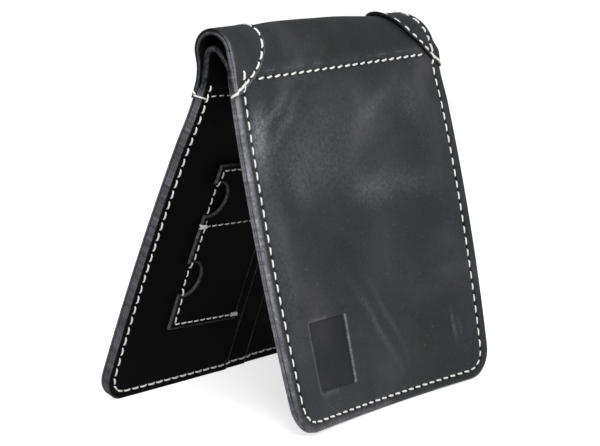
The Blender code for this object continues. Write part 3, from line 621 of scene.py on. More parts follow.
# Rubbed places of the front panel: x, v, size along and across in mm, turn in degrees, and how pale
rubs = [
    (-38.0, 15.0, 7.0, 3.0, 100.0, 0.65), (-31.0, 9.0, 10.0, 1.6, -40.0, 0.24),
    (-27.0, 12.0, 9.0, 1.1, -42.0, 0.18), (-25.0, 29.0, 5.0, 3.0, 60.0, 0.18),
    (4.5, 33.0, 8.0, 4.0, 12.0, 0.28), (20.0, 33.0, 10.0, 3.5, 8.0, 0.18),
    (13.0, 10.0, 10.0, 2.8, -32.0, 0.12), (8.0, 13.0, 7.0, 1.8, -30.0, 0.1),
    (-2.0, 68.0, 12.0, 1.0, 58.0, 0.2), (3.5, 67.0, 11.0, 0.9, 61.0, 0.15),
    (31.0, 74.0, 3.5, 0.8, 82.0, 0.35), (33.5, 75.0, 3.0, 0.6, 80.0, 0.25),
    (-18.0, 24.0, 14.0, 6.0, 20.0, 0.10), (-36.0, 48.0, 26.0, 3.0, 90.0, 0.14),
    (28.0, 12.0, 8.0, 5.0, 60.0, 0.12), (-14.0, 17.0, 30.0, 13.0, 0.0, 0.13),
    (-40.0, 30.0, 30.0, 2.5, 90.0, 0.12),
]
# Rubbed places of the back and along the ridge, and painted highlights on the recess's walls
rubbing = dict(
    inMm(backSize=26.0, ridgeWidth=0.28, ridgePatches=4.0, rightWallWidth=0.2, leftWallPlace=0.3,
         leftWallWidth=0.25),
    waver=2.2, waverSize=7.0, back=0.16, ridge=0.32, rightWall=1.3, leftWall=0.3)
recess = inMm(left=-31.2, right=-14.9, top=62.8, bottom=80.5, depth=0.45, wall=0.15, corner=0.5,
              roll=0.05, rollPlace=0.6, rollWidth=0.5)
crossSeam = dict(
    inMm(left=-35.2, right=37.6, past=0.6, innerInset=0.9, climb=0.8, climbStart=28.0, climbRun=12.0),
    climbAll=0.35, climbEnd=0.9, stitches=22, innerStitches=26)
crossPitch = (crossSeam["right"] - crossSeam["left"]) / crossSeam["stitches"]
hideLow, hideHigh = -plan["panelLength"], spineLength + plan["panelLength"]
hideCorners = (("left", "low"), ("right", "low"), ("left", "high"), ("right", "high"))


def onCrossSeam(x):
    return crossSeam["left"] - crossSeam["past"] < x < crossSeam["right"] + crossSeam["past"]


def hideInset(x, s):
    return roundedInset(x, s, hideLow, hideHigh, -halfWidth, halfWidth, hideCorners)


def halfPlace(s):
    # the half that a place of the hide belongs to, and its distance below that half's cross seam
    return (-1, -s) if s < spineLength / 2 else (1, s - spineLength)


def threadRelief(off, away, leather):
    # a seam draws the leather down, most at each hole
    dip = bump(off, cutting["holeWidth"]) * bump(away, cutting["holeLength"])
    return leather["groove"] * bump(off, leather["grooveWidth"]) + leather["holeDip"] * dip


seamShade = dict(inMm(lipWidth=0.38, lipLength=0.55, shadeWidth=0.5), lip=0.9, shade=0.3)


def seamDark(off, away):
    # painted shade: dark lips at the holes, and a shade along the thread
    lip = seamShade["lip"] * bump(off, seamShade["lipWidth"]) * bump(away, seamShade["lipLength"])
    return lip + seamShade["shade"] * bump(off, seamShade["shadeWidth"])


def ridgeShare(x):
    return smooth((cover["ridgeEnd"] - abs(x)) / cover["ridgeRun"])


def recessOff(x, v):
    # distance outside the recess's outline, negative inside it
    middleX, middleV = (recess["left"] + recess["right"]) / 2, (recess["top"] + recess["bottom"]) / 2
    overX = abs(x - middleX) - (recess["right"] - recess["left"]) / 2 + recess["corner"]
    overV = abs(v - middleV) - (recess["bottom"] - recess["top"]) / 2 + recess["corner"]
    return math.hypot(max(overX, 0.0), max(overV, 0.0)) + min(max(overX, overV), 0.0) - recess["corner"]


def recessShare(x, v):
    return smooth(0.5 - recessOff(x, v) / (2 * recess["wall"]))


def coverRelief(x, s):
    side, v = halfPlace(s)
    edge = hideInset(x, s)
    swelling = cover["swell"] * noise.noise(Vector((x, s, 7.0 * side)) / cover["swellSize"])
    lift = swelling * smooth((edge - cover["swellStart"]) / cover["swellRun"])
    if patchOver(x, s):
        return min(lift, 0.0)
    if v > 0.0:
        lift -= threadRelief(*seamRoute(side, x, v), cover)
        lift -= cover["pressed"] * (1.0 - smooth(edge / cover["pressedWidth"]))
    if onCrossSeam(x):
        lift -= threadRelief(v, alongSeam(x - crossSeam["left"], crossPitch), cover)
        lift += cover["ridge"] * bump(v + cover["ridgePlace"], cover["ridgeWidth"]) * ridgeShare(x)
    if side < 0:
        lift += recess["roll"] * bump(recessOff(x, v) - recess["rollPlace"], recess["rollWidth"])
        lift -= recess["depth"] * recessShare(x, v)
    return lift


def coverWorn(x, s, face):
    wear = coverEdge
    if s < wear["frontEnd"]:
        low = smooth((-s - wear["lowStart"]) / wear["lowRun"])
        return wear["left"] - wear["leftFall"] * low if x < 0.0 else wear["right"]
    if s < wear["crownEnd"]:
        return wear["crown"] + wear["crownRise"] * smooth((wear["crownEnd"] - s) / wear["crownRun"])
    return wear["crown"] + wear["backRise"] * smooth((s - spineLength) / wear["backRun"])


def coverRimWidth(x, s, face):
    # the burnish runs farther over the face along the front half's left side
    if x >= 0.0 or not face:
        return coverEdge["rimWidth"]
    added = smooth((coverEdge["wideEnd"] - s) / coverEdge["wideRun"])
    return coverEdge["rimWidth"] + coverEdge["addedWidth"] * added


def coverRubbed(x, s, face):
    if not face:
        return 0.0
    if s > spineLength / 2:
        return rubbing["back"] * smooth(0.35 + 0.9 * noise.noise(Vector((x, s, 2.0)) / rubbing["backSize"]))
    share = rubbing["ridge"] * bump(s - cover["ridgePlace"], rubbing["ridgeWidth"])
    share *= smooth((abs(x) - 2 * mm) / (20 * mm) + 0.3) * ridgeShare(x)
    share *= smooth(0.45 + 1.3 * noise.noise(Vector((x / rubbing["ridgePatches"], 0.0, 5.0))))
    outside = recessOff(x, -s)
    # painted highlights on the recess's right wall and on the rim outside its left wall, as lit from the left
    if x > recess["right"] - recess["corner"]:
        share += rubbing["rightWall"] * bump(outside, rubbing["rightWallWidth"])
    elif x <= (recess["left"] + recess["right"]) / 2:
        share += rubbing["leftWall"] * bump(outside - rubbing["leftWallPlace"], rubbing["leftWallWidth"])
    for middleX, middleV, long, wide, turn, amount in rubs:
        cosine, sine = math.cos(math.radians(turn)), math.sin(math.radians(turn))
        p, q = x / mm - middleX, -s / mm - middleV
        size = rubbing["waverSize"]
        q += rubbing["waver"] * noise.noise(Vector((p / size, q / size, middleX)))
        share += amount * bump(p * cosine + q * sine, long) * bump(q * cosine - p * sine, wide)
    return min(share, 1.0)


# Dark places of the cover: painted shade on the flesh side, which shows in the gaps between leathers, on the
# lower right of the front and along a creased line beside the front's left seam;
# the recess, pressed darker; the fold, a little darker; and a dark line across the left edge under the left
# patch's tip
dye = dict(
    inMm(seamTop=-3.0, fullStart=45.0, fullRun=30.0, fullLeft=-10.0, fullAcross=40.0, creaseInset=2.0,
         creaseWidth=0.3, creaseStart=1.0, creaseRun=3.0, printPlace=4.0, printWidth=0.4, printEnd=-41.0,
         printRun=1.0),
    flesh=0.9, fold=0.12, full=0.16, pressed=0.5, crease=0.5, print=0.7, printSlope=0.4)


def coverDark(x, s, face):
    if not face:
        # painted shade: the flesh side shows only in the gaps between the leathers
        return dye["flesh"]
    if patchOver(x, s):
        return 0.0
    side, v = halfPlace(s)
    share = seamDark(*seamRoute(side, x, v)) if v > dye["seamTop"] else dye["fold"]
    if onCrossSeam(x):
        share += seamDark(v, alongSeam(x - crossSeam["left"], crossPitch))
    if side < 0:
        # painted shade: the lower right of the front is darker, as less light falls there; the recess is
        # pressed darker
        lowRight = smooth((v - dye["fullStart"]) / dye["fullRun"])
        lowRight *= smooth((x - dye["fullLeft"]) / dye["fullAcross"])
        share += dye["full"] * lowRight + dye["pressed"] * recessShare(x, v)
    if side < 0 and x < 0.0:
        inset = halfWidth + x
        # painted shade of a crease beside the front's left seam
        share += (dye["crease"] * bump(inset - dye["creaseInset"], dye["creaseWidth"])
                  * smooth((v - dye["creaseStart"]) / dye["creaseRun"]))
        share += (dye["print"] * bump(v - dye["printPlace"] + dye["printSlope"] * inset, dye["printWidth"])
                  * smooth((dye["printEnd"] - x) / dye["printRun"]))
    return min(share, 1.0)


def coverPlace(x, s, z):
    # the hide's flesh side is skived over the fold, most on the way down the back
    if z < 0.0:
        crownPlace = spineLength * cover["crownSkivePlace"]
        z *= (1.0 - cover["crownSkive"] * bump(s - crownPlace, cover["crownSkiveWidth"])
              - cover["backSkive"] * bump(s - cover["backSkivePlace"], cover["backSkiveWidth"]))
    return hidePoint(x, s, z)


def coverRound(x, s):
    return cover["coveredRound"] if patchOver(x, s) else cover["rimRound"]


def makeCover():
    turns = (-2, -1, 0, 1, 2)
    walls = [edge + turn * recess["wall"] for edge in (recess["left"], recess["right"]) for turn in turns]
    xs = meshLines(-halfWidth, halfWidth, freeEdgePitches[-1] / 4, extra=walls, anchor=-freeEdgeHalves[-1])
    step = sidePitch / 4
    start, end = cover["foldStart"], spineLength - cover["foldEnd"]
    seamLines = [turn * cover["seamLine"] for turn in (-1, 0, 1)]
    ridgeLines = [turn * cover["ridgeWidth"] for turn in (-1, 0, 1)]
    extra = [-recess["top"] + turn * recess["wall"] for turn in turns] + seamLines
    extra += [cover["ridgePlace"] + value for value in ridgeLines]
    front = meshLines(hideLow, start, step, extra=extra, ringsHigh=False, anchor=-sideEnd)
    over = meshLines(start, end, cover["foldStep"], ringsLow=False, ringsHigh=False)
    extra = [spineLength + value for value in seamLines]
    extra += [spineLength - cover["ridgePlace"] + value for value in ridgeLines]
    back = meshLines(end, hideHigh, step, extra=extra, ringsLow=False, anchor=spineLength + sideEnd)
    piece = cutGrid("cover_hide", xs, front[:-1] + over[:-1] + back, hideCorners)
    foldLeather(piece, layers[-1][1] - plan["hairline"], hideInset, coverPlace,
                (coverRound, cover["fleshRound"]), coverRelief, coverRimWidth,
                worn=coverWorn, rubbed=coverRubbed, dark=coverDark)
    finish(piece, coverLeather, ["cover_front", "cover_spine", "cover_back"], "outerFold")


makeCover()
print("cover folded")

# Leathers inside each half: the node each stands for, its half, its place in the stack, its mouth, or None
# where it runs from edge to edge, and how far the mouth gapes
mouths = inMm(front=5.5, middle=6.0, rear=14.8)
innerPieces = [
    ("liner_front", -1, 1, None, 0.0), ("card_pocket_front", -1, 2, "front", 0.5 * mm),
    ("liner_back", 1, 1, None, 0.0), ("card_pocket_back_rear", 1, 2, "rear", 0.25 * mm),
    ("card_pocket_back_middle", 1, 3, "middle", 0.45 * mm),
]
inner = dict(
    inMm(step=1.6, groove=0.14, grooveWidth=0.4, holeDip=0.18, faceRound=0.16, fleshRound=0.05, pastTop=10.0,
         gapeWidth=14.0, gapeTop=6.0, gapeTopRun=30.0, gapeLow=2.0, gapeLowRun=26.0, wornTop=2.0,
         wornRun=14.0),
    mouthLines=(0.9, 0.5, 0.25, 0.1), worn={-1: 0.85, 1: 0.35}, skive=0.35)


def makeInnerLeather(node, side, place, mouth, gape):
    low, high = -plan["panelLength"], plan["topEnd"]
    right = mouths[mouth] if mouth else halfWidth
    corners = (("left", "low"),) if mouth else (("left", "low"), ("right", "low"))
    near, far = layers[side][place:place + 2]
    if far < layers[side][-1]:
        far -= plan["hairline"]
    mouthLines = [right - value * mm for value in inner["mouthLines"]] if mouth else []
    xs = meshLines(-halfWidth, right, inner["step"], ringsHigh=not mouth, extra=mouthLines)
    ys = meshLines(low, high, sidePitch / 2, ringsHigh=False, anchor=-sideEnd)

    def inset(x, y):
        return roundedInset(x, y, low, high + inner["pastTop"], -halfWidth, right, corners)

    def foldOver(x, y, z):
        # the cut's face looks inwards, to the other half; the front leathers are skived at the lining
        depth = far + z + (gape * smooth((x - right + inner["gapeWidth"]) / inner["gapeWidth"])
                           * smooth((-y - inner["gapeTop"]) / inner["gapeTopRun"])
                           * smooth((stitchV + y - inner["gapeLow"]) / inner["gapeLowRun"]))
        if side < 0:
            coverBack = layers[side][1]
            depth = coverBack + (depth - coverBack) * (1.0 - inner["skive"] * smooth(y / plan["topEnd"]))
        return panelPoint(side, x, -y, depth)

    def relief(x, y):
        return -threadRelief(*seamRoute(side, x, -y), inner)

    def worn(x, y, face):
        return inner["worn"][side] * (smooth((inner["wornTop"] - y) / inner["wornRun"]) if side < 0 else 1.0)

    piece = cutGrid(f"{node}_leather", xs, ys, corners)
    foldLeather(piece, far - near, inset, foldOver, (inner["faceRound"], inner["fleshRound"]), relief,
                worn=worn)
    finish(piece, innerLeather, [node], f"{halves[side]}_half")


for innerPiece in innerPieces:
    makeInnerLeather(*innerPiece)
print("inner leathers folded")

# Lining over the fold: its own lower arch, from the front half's leathers over the apex to the back half's
lining = dict(
    inMm(thickness=1.55, frontFoot=0.95, overlap=0.05, lead=1.0, apexDrop=1.3, apexShift=0.1, apexRadius=1.6,
         routeStep=0.45, step=1.8, sag=0.10, sagLong=11.0, sagWide=6.0, thinEnd=9.0, thinRun=8.0,
         rimRound=0.34, edgeInset=0.3),
    thin=0.42, apexSteps=12, smoothings=6, rows=60)


def archRoute():
    rise = plan["topEnd"] - lining["overlap"]
    front = seams[-1] - rise * downs[-1] - (layers[-1][1] + lining["frontFoot"]) * outwards[-1]
    back = seams[1] - rise * downs[1] - layers[1][-1] * outwards[1]
    bends = [front - lining["lead"] * downs[-1], back - lining["lead"] * downs[1]]
    centre = crownCentre - Vector((0.0, lining["apexShift"], lining["apexDrop"]))
    touches = []
    for bend, turn in zip(bends, (-1.0, 1.0)):
        gap = bend - centre
        touches.append(math.atan2(gap.z, gap.y) + turn * math.acos(lining["apexRadius"] / gap.length))
    first, last = touches[0] % (2 * math.pi), touches[1]
    steps = lining["apexSteps"]
    corners = [front, bends[0]]
    corners += [onCircle(centre, lining["apexRadius"], first + (last - first) * i / steps)
                for i in range(steps + 1)]
    corners += [bends[1], back]
    route = []
    for a, b in zip(corners, corners[1:]):
        pieces = max(1, round((b - a).length / lining["routeStep"]))
        route += [a.lerp(b, i / pieces) for i in range(pieces)]
    route.append(corners[-1])
    for _ in range(lining["smoothings"]):
        middle = [(route[i - 1] + 2 * route[i] + route[i + 1]) / 4 for i in range(1, len(route) - 1)]
        route = [route[0]] + middle + [route[-1]]
    return route


def makeLining():
    route = archRoute()
    lengths = [0.0]
    for a, b in zip(route, route[1:]):
        lengths.append(lengths[-1] + (b - a).length)
    total = lengths[-1]

    def inset(x, y):
        return min(halfWidth - abs(x), y + lining["edgeInset"], total - y + lining["edgeInset"])

    def place(x, y, z):
        # y is the way along the route, and the cut's face looks down between the halves
        i = max(j for j in range(len(route) - 1) if lengths[j] <= y + 1e-9)
        point = route[i].lerp(route[i + 1], (y - lengths[i]) / (lengths[i + 1] - lengths[i]))
        tangent = (route[min(i + 2, len(route) - 1)] - route[max(i - 1, 0)]).normalized()
        sag = lining["sag"] * noise.noise(Vector((x / lining["sagLong"], y / lining["sagWide"], 3.0)))
        thin = 1.0 - lining["thin"] * smooth((lining["thinEnd"] - y) / lining["thinRun"])
        return point + Vector((0.0, -tangent.z, tangent.y)) * (-z * thin + sag) + alongFold(x, point.z)

    rows = lining["rows"]
    piece = cutGrid("lining_over_fold", meshLines(-halfWidth, halfWidth, lining["step"]),
                    [total * i / rows for i in range(rows + 1)])
    foldLeather(piece, lining["thickness"], inset, place, (lining["rimRound"], lining["rimRound"]))
    finish(piece, innerLeather, ["liner_spine"], "innerFold")


def makePatch(name, patch):
    end, centre, reach = patch["end"], patch["centre"], patchReach(patch)
    margin, rows = patchCut["margin"], patchCut["rows"]
    thickness = patchCut["thickness"] - patchCut["air"]
    ys = [centre - reach + 2 * reach * i / rows for i in range(rows + 1)]
    piece = cutGrid(f"spine_patch_{name}_leather", patchCut["columns"], ys)
    for vert in piece.data.vertices:
        vert.co.x = end * (halfWidth - noseDepth(vert.co.y - centre, patch, margin) * (1.0 - vert.co.x))
    if end < 0:  # the cut was mirrored, so its face looked down
        inEditMode(piece, bpy.ops.mesh.flip_normals)

    def fromNose(x, y):
        return noseDepth(y - centre, patch, margin) - (halfWidth - abs(x))

    def seamOff(x, y):
        return halfWidth - abs(x) - noseDepth(y - centre, patch)

    def inset(x, y):
        step = patchCut["slopeStep"]
        rise = noseDepth(y - centre + step, patch, margin) - noseDepth(y - centre - step, patch, margin)
        slope = rise / (2 * step)
        return max(0.0, min(fromNose(x, y) / math.hypot(1.0, slope), halfWidth - abs(x)))

    def place(x, y, z):
        lift = patchLift(patch, y)
        deep = noseDepth(y - centre, patch, margin)
        stand = bump(fromNose(x, y), patchCut["standWidth"]) * smooth(deep / patchCut["standDepth"])
        stand *= patch["edgeLift"]
        if z <= -thickness / 2:
            stand *= patchCut["fleshStand"]
        return hidePoint(x, y, lift + z * lift / patchCut["thickness"] + stand)

    def relief(x, y):
        # grooves of its own seam and, on the right, of the seam along the edge
        lines = [seamOff(x, y)] + ([halfWidth - abs(x) - sideMargins[-1]] if end > 0 else [])
        return -sum(patchCut["groove"] * bump(line, patchCut["grooveWidth"]) for line in lines)

    def worn(x, y, face):
        # the left patch's tip on the front is rubbed as pale as the edge below it
        tip = smooth((centre - y - patchCut["wornStart"]) / patchCut["wornRun"])
        return patchCut["worn"] * tip if end < 0 else 0.0

    # painted shade: the flesh side, seen in the gap under the patch's edge, is fully dark
    def dark(x, y, face):
        return 0.0 if face else 1.0

    foldLeather(piece, thickness, inset, place, (patchCut["faceRound"], patchCut["fleshRound"]), relief,
                worn=worn, dark=dark)
    finish(piece, patchLeather, [f"spine_patch_{name}"], "outerFold")


makeLining()
for patchName, patch in patches.items():
    makePatch(patchName, patch)
print("lining and patches folded")

# Small two-part pocket with its thumb notches, sewn on slightly askew: its right side hangs lower
pocket = dict(
    inMm(left=16.0, right=44.0, top=20.8, bottom=70.4, stitch=1.6, divider=39.2, notchRadius=5.0,
         notchInset=1.9, near=2.95, thickness=0.75, drop=-0.1, faceRound=0.2, fleshRound=0.05, groove=0.10,
         grooveWidth=0.5, pitch=2.75, seamEnd=2.6, threadSink=0.08),
    notches=(31.1 * mm, 55.1 * mm), notchSteps=20, rims=(0.1 * mm, 0.18 * mm, 0.4 * mm), rows=14, columns=8,
    tilt=0.055, worn=0.25)
for end in ("left", "right"):  # typed from the left stitch line
    pocket[end] -= seamX
pocketFace = pocket["near"] + pocket["thickness"]


def pocketV(x, v):
    return v + pocket["drop"] + pocket["tilt"] * (x - pocket["left"])


def pocketOutline():
    half = math.acos(-pocket["notchInset"] / pocket["notchRadius"])
    steps = pocket["notchSteps"]
    points = [(pocket["left"], -pocket["top"])]
    for v in pocket["notches"]:
        for i in range(steps + 1):
            angle = half - 2 * half * i / steps
            points.append((pocket["left"] + pocket["notchInset"] + pocket["notchRadius"] * math.cos(angle),
                           -v + pocket["notchRadius"] * math.sin(angle)))
    return points + [(pocket["left"], -pocket["bottom"]), (pocket["right"], -pocket["bottom"]),
                     (pocket["right"], -pocket["top"])]


def notchOff(x, v):
    # distance outside the nearest notch
    across = x - pocket["left"] - pocket["notchInset"]
    return min(math.hypot(across, v - notch) for notch in pocket["notches"]) - pocket["notchRadius"]


def pocketInset(x, y):
    sides = (x - pocket["left"], pocket["right"] - x, -y - pocket["top"], pocket["bottom"] + y)
    return max(min(*sides, notchOff(x, -y)), 0.0)


def pocketRelief(x, y):
    lines = (x - pocket["left"] - pocket["stitch"], -y - pocket["top"] - pocket["stitch"],
             pocket["bottom"] + y - pocket["stitch"], -y - pocket["divider"])
    return -pocket["groove"] * bump(min(abs(line) for line in lines), pocket["grooveWidth"])


def divideMesh():
    # rims inside the outline, then rows and columns
    for width in pocket["rims"]:
        bpy.ops.mesh.inset(thickness=width, use_even_offset=True)
    for normal, start, end, count in (
            (Vector((0, 1, 0)), -pocket["top"], -pocket["bottom"], pocket["rows"]),
            (Vector((1, 0, 0)), pocket["left"], pocket["right"], pocket["columns"])):
        for i in range(1, count):
            bpy.ops.mesh.select_all(action="SELECT")
            bpy.ops.mesh.bisect(plane_co=normal * (start + (end - start) * i / count), plane_no=normal)


def makeSmallPocket():
    outline = pocketOutline()
    bpy.ops.object.select_all(action="DESELECT")
    bpy.ops.mesh.primitive_circle_add(vertices=len(outline), radius=0.01, fill_type="NGON")
    piece = bpy.context.active_object
    piece.name = "small_pocket_leather"
    for vert, (x, y) in zip(piece.data.vertices, outline):
        vert.co = (x, y, 0.0)
    inEditMode(piece, turnNormalsOut, divideMesh)
    if piece.data.polygons[0].normal.z < 0:
        piece.data.flip_normals()
    foldLeather(piece, pocket["thickness"], pocketInset,
                lambda x, y, z: panelPoint(1, x, pocketV(x, -y), pocketFace + z),
                (pocket["faceRound"], pocket["fleshRound"]), pocketRelief,
                worn=lambda x, y, face: pocket["worn"])
    finish(piece, innerLeather, ["small_pocket"], "back_half")


makeSmallPocket()
print("small pocket sewn on")

# Thread: one stitch is modelled and copied; X along the seam, Z off the leather, both ends in their holes
stitch = dict(
    inMm(radius=0.29, pitch=3.15, reach=2.20, crest=0.27, sink=-0.46, weld=0.001),
    power=7.0, taper=0.10, wide=1.04, high=0.94, around=8, along=10)


def stitchTemplate():
    # rolled from a flat grid, whose UV map the thread's twist follows
    bpy.ops.object.select_all(action="DESELECT")
    bpy.ops.mesh.primitive_grid_add(x_subdivisions=stitch["around"], y_subdivisions=stitch["along"], size=1.0)
    piece = bpy.context.active_object
    piece.name = "stitch_template"
    rise = stitch["crest"] - stitch["sink"]
    for index, vert in enumerate(piece.data.vertices):
        turn = 2 * math.pi * (index % (stitch["around"] + 1)) / stitch["around"]
        t = 2.0 * (index // (stitch["around"] + 1)) / stitch["along"] - 1.0
        t = math.sin(t * math.pi / 2)  # closer rows at the two ends
        slope = -rise * stitch["power"] * abs(t) ** (stitch["power"] - 1)
        slope *= math.copysign(1.0, t) / (stitch["reach"] / 2)
        tangent = Vector((1.0, 0.0, slope)).normalized()
        radius = stitch["radius"] * (1.0 - stitch["taper"] * abs(t) ** 3)
        height = stitch["sink"] + rise * (1.0 - abs(t) ** stitch["power"])
        wide = Vector((0.0, 1.0, 0.0)) * radius * stitch["wide"] * math.cos(turn)
        high = Vector((-tangent.z, 0.0, tangent.x)) * radius * stitch["high"] * math.sin(turn)
        vert.co = Vector((t * stitch["reach"] / 2, 0.0, height)) + wide + high
    bpy.ops.object.mode_set(mode="EDIT")
    bpy.ops.mesh.select_all(action="SELECT")
    bpy.ops.mesh.remove_doubles(threshold=stitch["weld"])
    bpy.ops.mesh.select_all(action="DESELECT")
    bpy.ops.mesh.select_mode(type="EDGE")
    bpy.ops.mesh.select_non_manifold(extend=False)
    bpy.ops.mesh.edge_face_add()
    bpy.ops.mesh.select_all(action="SELECT")
    turnNormalsOut()
    bpy.ops.mesh.select_mode(type="VERT")
    bpy.ops.object.mode_set(mode="OBJECT")
    bpy.ops.object.shade_smooth()
    return piece


template = stitchTemplate()
chance = random.Random(11)


def layStitch(middle, along, across, up, size):
    copy = template.copy()
    copy.data = template.data.copy()
    bpy.context.collection.objects.link(copy)
    turned = Matrix((along, across, up)).transposed().to_4x4()
    copy.data.transform(Matrix.Translation(middle) @ turned @ Matrix.Diagonal((*size, 1.0)))
    return copy


def sew(name, holes, body, slant=0.0, width=1.0, share=1.0):
    # a stitch between each two holes, which come with the leather's normals
    copies = []
    for (start, startNormal), (end, endNormal) in zip(holes, holes[1:]):
        along = end - start
        length = along.length
        along = along.normalized()
        across = (startNormal + endNormal).normalized().cross(along).normalized()
        up = along.cross(across)
        turn = math.radians(slant + chance.uniform(-2.0, 2.0))
        cosine, sine = math.cos(turn), math.sin(turn)
        size = (share * length / stitch["pitch"] * chance.uniform(0.96, 1.03),
                width * chance.uniform(0.95, 1.05), width * chance.uniform(0.94, 1.06))
        copies.append(layStitch((start + end) / 2, along * cosine + across * sine,
                                across * cosine - along * sine, up, size))
    finish(joinAs(name, copies), waxedThread, [name.replace("stitches", "thread")], body)


def holeNormal(point, x, down):
    # the normal of a face that a function of x and the way down describes
    step = 0.4 * mm
    across = point(x + step, down) - point(x - step, down)
    return across.cross(point(x, down + step) - point(x, down - step)).normalized()


def hideHole(x, s):
    # on the outer side, on the patch where one lies there
    patch = patchOver(x, s)
    lift = patchLift(patch, s) if patch else coverRelief(x, s)
    return hidePoint(x, s, lift), holeNormal(lambda x, s: hidePoint(x, s, lift), x, s)


def panelHole(side, x, v, depth):
    normal = holeNormal(lambda x, v: panelPoint(side, x, v, depth), x, v)
    return panelPoint(side, x, v, depth), normal if normal.dot(outwards[side]) < 0 else -normal


def innerDepth(side, x):
    # depth of the innermost leather's face
    depth = layers[side][2]
    for node, pieceSide, place, mouth, gape in innerPieces:
        if mouth and pieceSide == side and x < mouths[mouth]:
            depth = layers[side][place + 1]
    return depth


# Each seam's stitches: slant in degrees, thickness and length as shares of the template's, and how deep
# they lie in the inner leathers
seamLooks = dict(
    inMm(innerSink=0.12, crossInnerSink=0.2),
    outerSlant=7.0, innerSlant=4.0, innerWidth=0.85, crossSlant=10.0, crossInnerSlant=3.0,
    crossInnerWidth=0.62, patchSlant=3.0, edgeSlant=4.0, patchShares=dict(left=0.95, right=0.84),
    edgeShare=0.84, pocketSlant=5.0, pocketWidth=0.72, dividerWidth=0.6)


def sewHalves():
    looks = seamLooks
    for side, half in halves.items():
        body = f"{half}_half"
        holes = [hideHole(x, -v if side < 0 else spineLength + v) for x, v in perimeterHoles(side)]
        sew(f"perimeter_stitches_{half}_outer", holes, body, looks["outerSlant"] * side)
        plans = perimeterHoles(side, sewing["innerShift"] if side > 0 else 0.0)
        holes = [panelHole(side, x, v, innerDepth(side, x) - looks["innerSink"]) for x, v in plans]
        sew(f"perimeter_stitches_{half}_inner", holes, body, looks["innerSlant"] * side, looks["innerWidth"])
        xs = [crossSeam["left"] + crossPitch * i for i in range(crossSeam["stitches"] + 1)]
        holes = [hideHole(x, 0.0 if side < 0 else spineLength) for x in xs]
        sew(f"cross_seam_stitches_{half}_outer", holes, body, looks["crossSlant"])
        # the back's inner cross seam lies higher, most at its left end
        count, end = crossSeam["innerStitches"], seamX - crossSeam["innerInset"]
        climb = crossSeam["climb"] if side > 0 else 0.0
        holes = []
        for x in [end * (2 * i / count - 1) for i in range(count + 1)]:
            climbShare = smooth((-x - crossSeam["climbStart"]) / crossSeam["climbRun"])
            v = -climb * (crossSeam["climbAll"] + crossSeam["climbEnd"] * climbShare)
            holes.append(panelHole(side, x, v, innerDepth(side, x) - looks["crossInnerSink"]))
        sew(f"cross_seam_stitches_{half}_inner", holes, body, looks["crossInnerSlant"],
            looks["crossInnerWidth"])


def evenHoles(points, pitch):
    # places at even steps along a route of (x, s) points
    lengths = [0.0]
    for (ax, ay), (bx, by) in zip(points, points[1:]):
        lengths.append(lengths[-1] + math.hypot(bx - ax, by - ay))
    count = max(1, round(lengths[-1] / pitch))
    holes, j = [], 0
    for i in range(count + 1):
        travel = lengths[-1] * i / count
        while j < len(lengths) - 2 and lengths[j + 1] < travel:
            j += 1
        t = (travel - lengths[j]) / (lengths[j + 1] - lengths[j])
        holes.append(tuple(a + t * (b - a) for a, b in zip(points[j], points[j + 1])))
    return holes


def sewSpine():
    pitch, count = patchCut["pitch"], patchCut["routeSteps"]
    for name, patch in patches.items():
        reach = patch["half"] * patchCut["seamEnd"]
        distances = [-reach * math.cos(math.pi * i / count) for i in range(count + 1)]
        route = [(patch["end"] * (halfWidth - noseDepth(distance, patch)), patch["centre"] + distance)
                 for distance in distances]
        sew(f"patch_stitches_{name}", [hideHole(x, s) for x, s in evenHoles(route, pitch)], "outerFold",
            seamLooks["patchSlant"], share=seamLooks["patchShares"][name])
    route = [(stitchXs[-1], -sewing["sideTop"]), (stitchXs[1], spineLength + sewing["sideTop"])]
    sew("spine_edge_stitches_right", [hideHole(x, s) for x, s in evenHoles(route, pitch)], "outerFold",
        seamLooks["edgeSlant"], share=seamLooks["edgeShare"])


def pocketHole(x, v):
    # on the small pocket, or on the leather under it where a notch is cut
    depth = layers[1][-1] if notchOff(x, v) < 0.0 else pocketFace - pocket["threadSink"]
    return panelHole(1, x, pocketV(x, v), depth)


def sewSmallPocket():
    left, right = pocket["left"] + pocket["stitch"], pocket["right"] - pocket["seamEnd"]
    top, bottom = pocket["top"] + pocket["stitch"], pocket["bottom"] - pocket["stitch"]
    corners = [(right, top), (left, top), (left, bottom), (right, bottom)]
    holes = [corners[0]]
    for start, end in zip(corners, corners[1:]):
        holes += evenHoles([start, end], pocket["pitch"])[1:]
    sew("small_pocket_stitches", [pocketHole(x, v) for x, v in holes], "back_half", seamLooks["pocketSlant"],
        seamLooks["pocketWidth"])
    holes = evenHoles([(left, pocket["divider"]), (right, pocket["divider"])], pocket["pitch"])
    sew("small_pocket_divider_stitches", [pocketHole(x, v) for x, v in holes], "back_half",
        seamLooks["pocketSlant"], seamLooks["dividerWidth"])


# Bar tacks: a row of close short stitches laid across a seam's end
tack = dict(inMm(length=2.3, width=1.0, slant=0.12, dividerInset=0.8), strands=7, past=1.1, wide=0.78,
            high=0.85, raised=0.1)


def barTack(name, x, v):
    copies = []
    for i in range(tack["strands"]):
        at = x + (i / (tack["strands"] - 1) - 0.5) * tack["length"]
        height = pocketV(at, v)
        middle, normal = panelHole(1, at, height, pocketFace)
        low, high = [panelPoint(1, at + turn * tack["slant"], height + turn * tack["width"] / 2, pocketFace)
                     for turn in (-1, 1)]
        along = (high - low).normalized()
        across = normal.cross(along).normalized()
        size = (tack["width"] / stitch["reach"] * tack["past"], tack["wide"],
                tack["high"] + tack["raised"] * (i % 2))
        copies.append(layStitch(middle, along, across, along.cross(across), size))
    piece = joinAs(f"bar_tack_{name}_stitches", copies)
    finish(piece, waxedThread, [f"bar_tack_{name}"], "back_half")


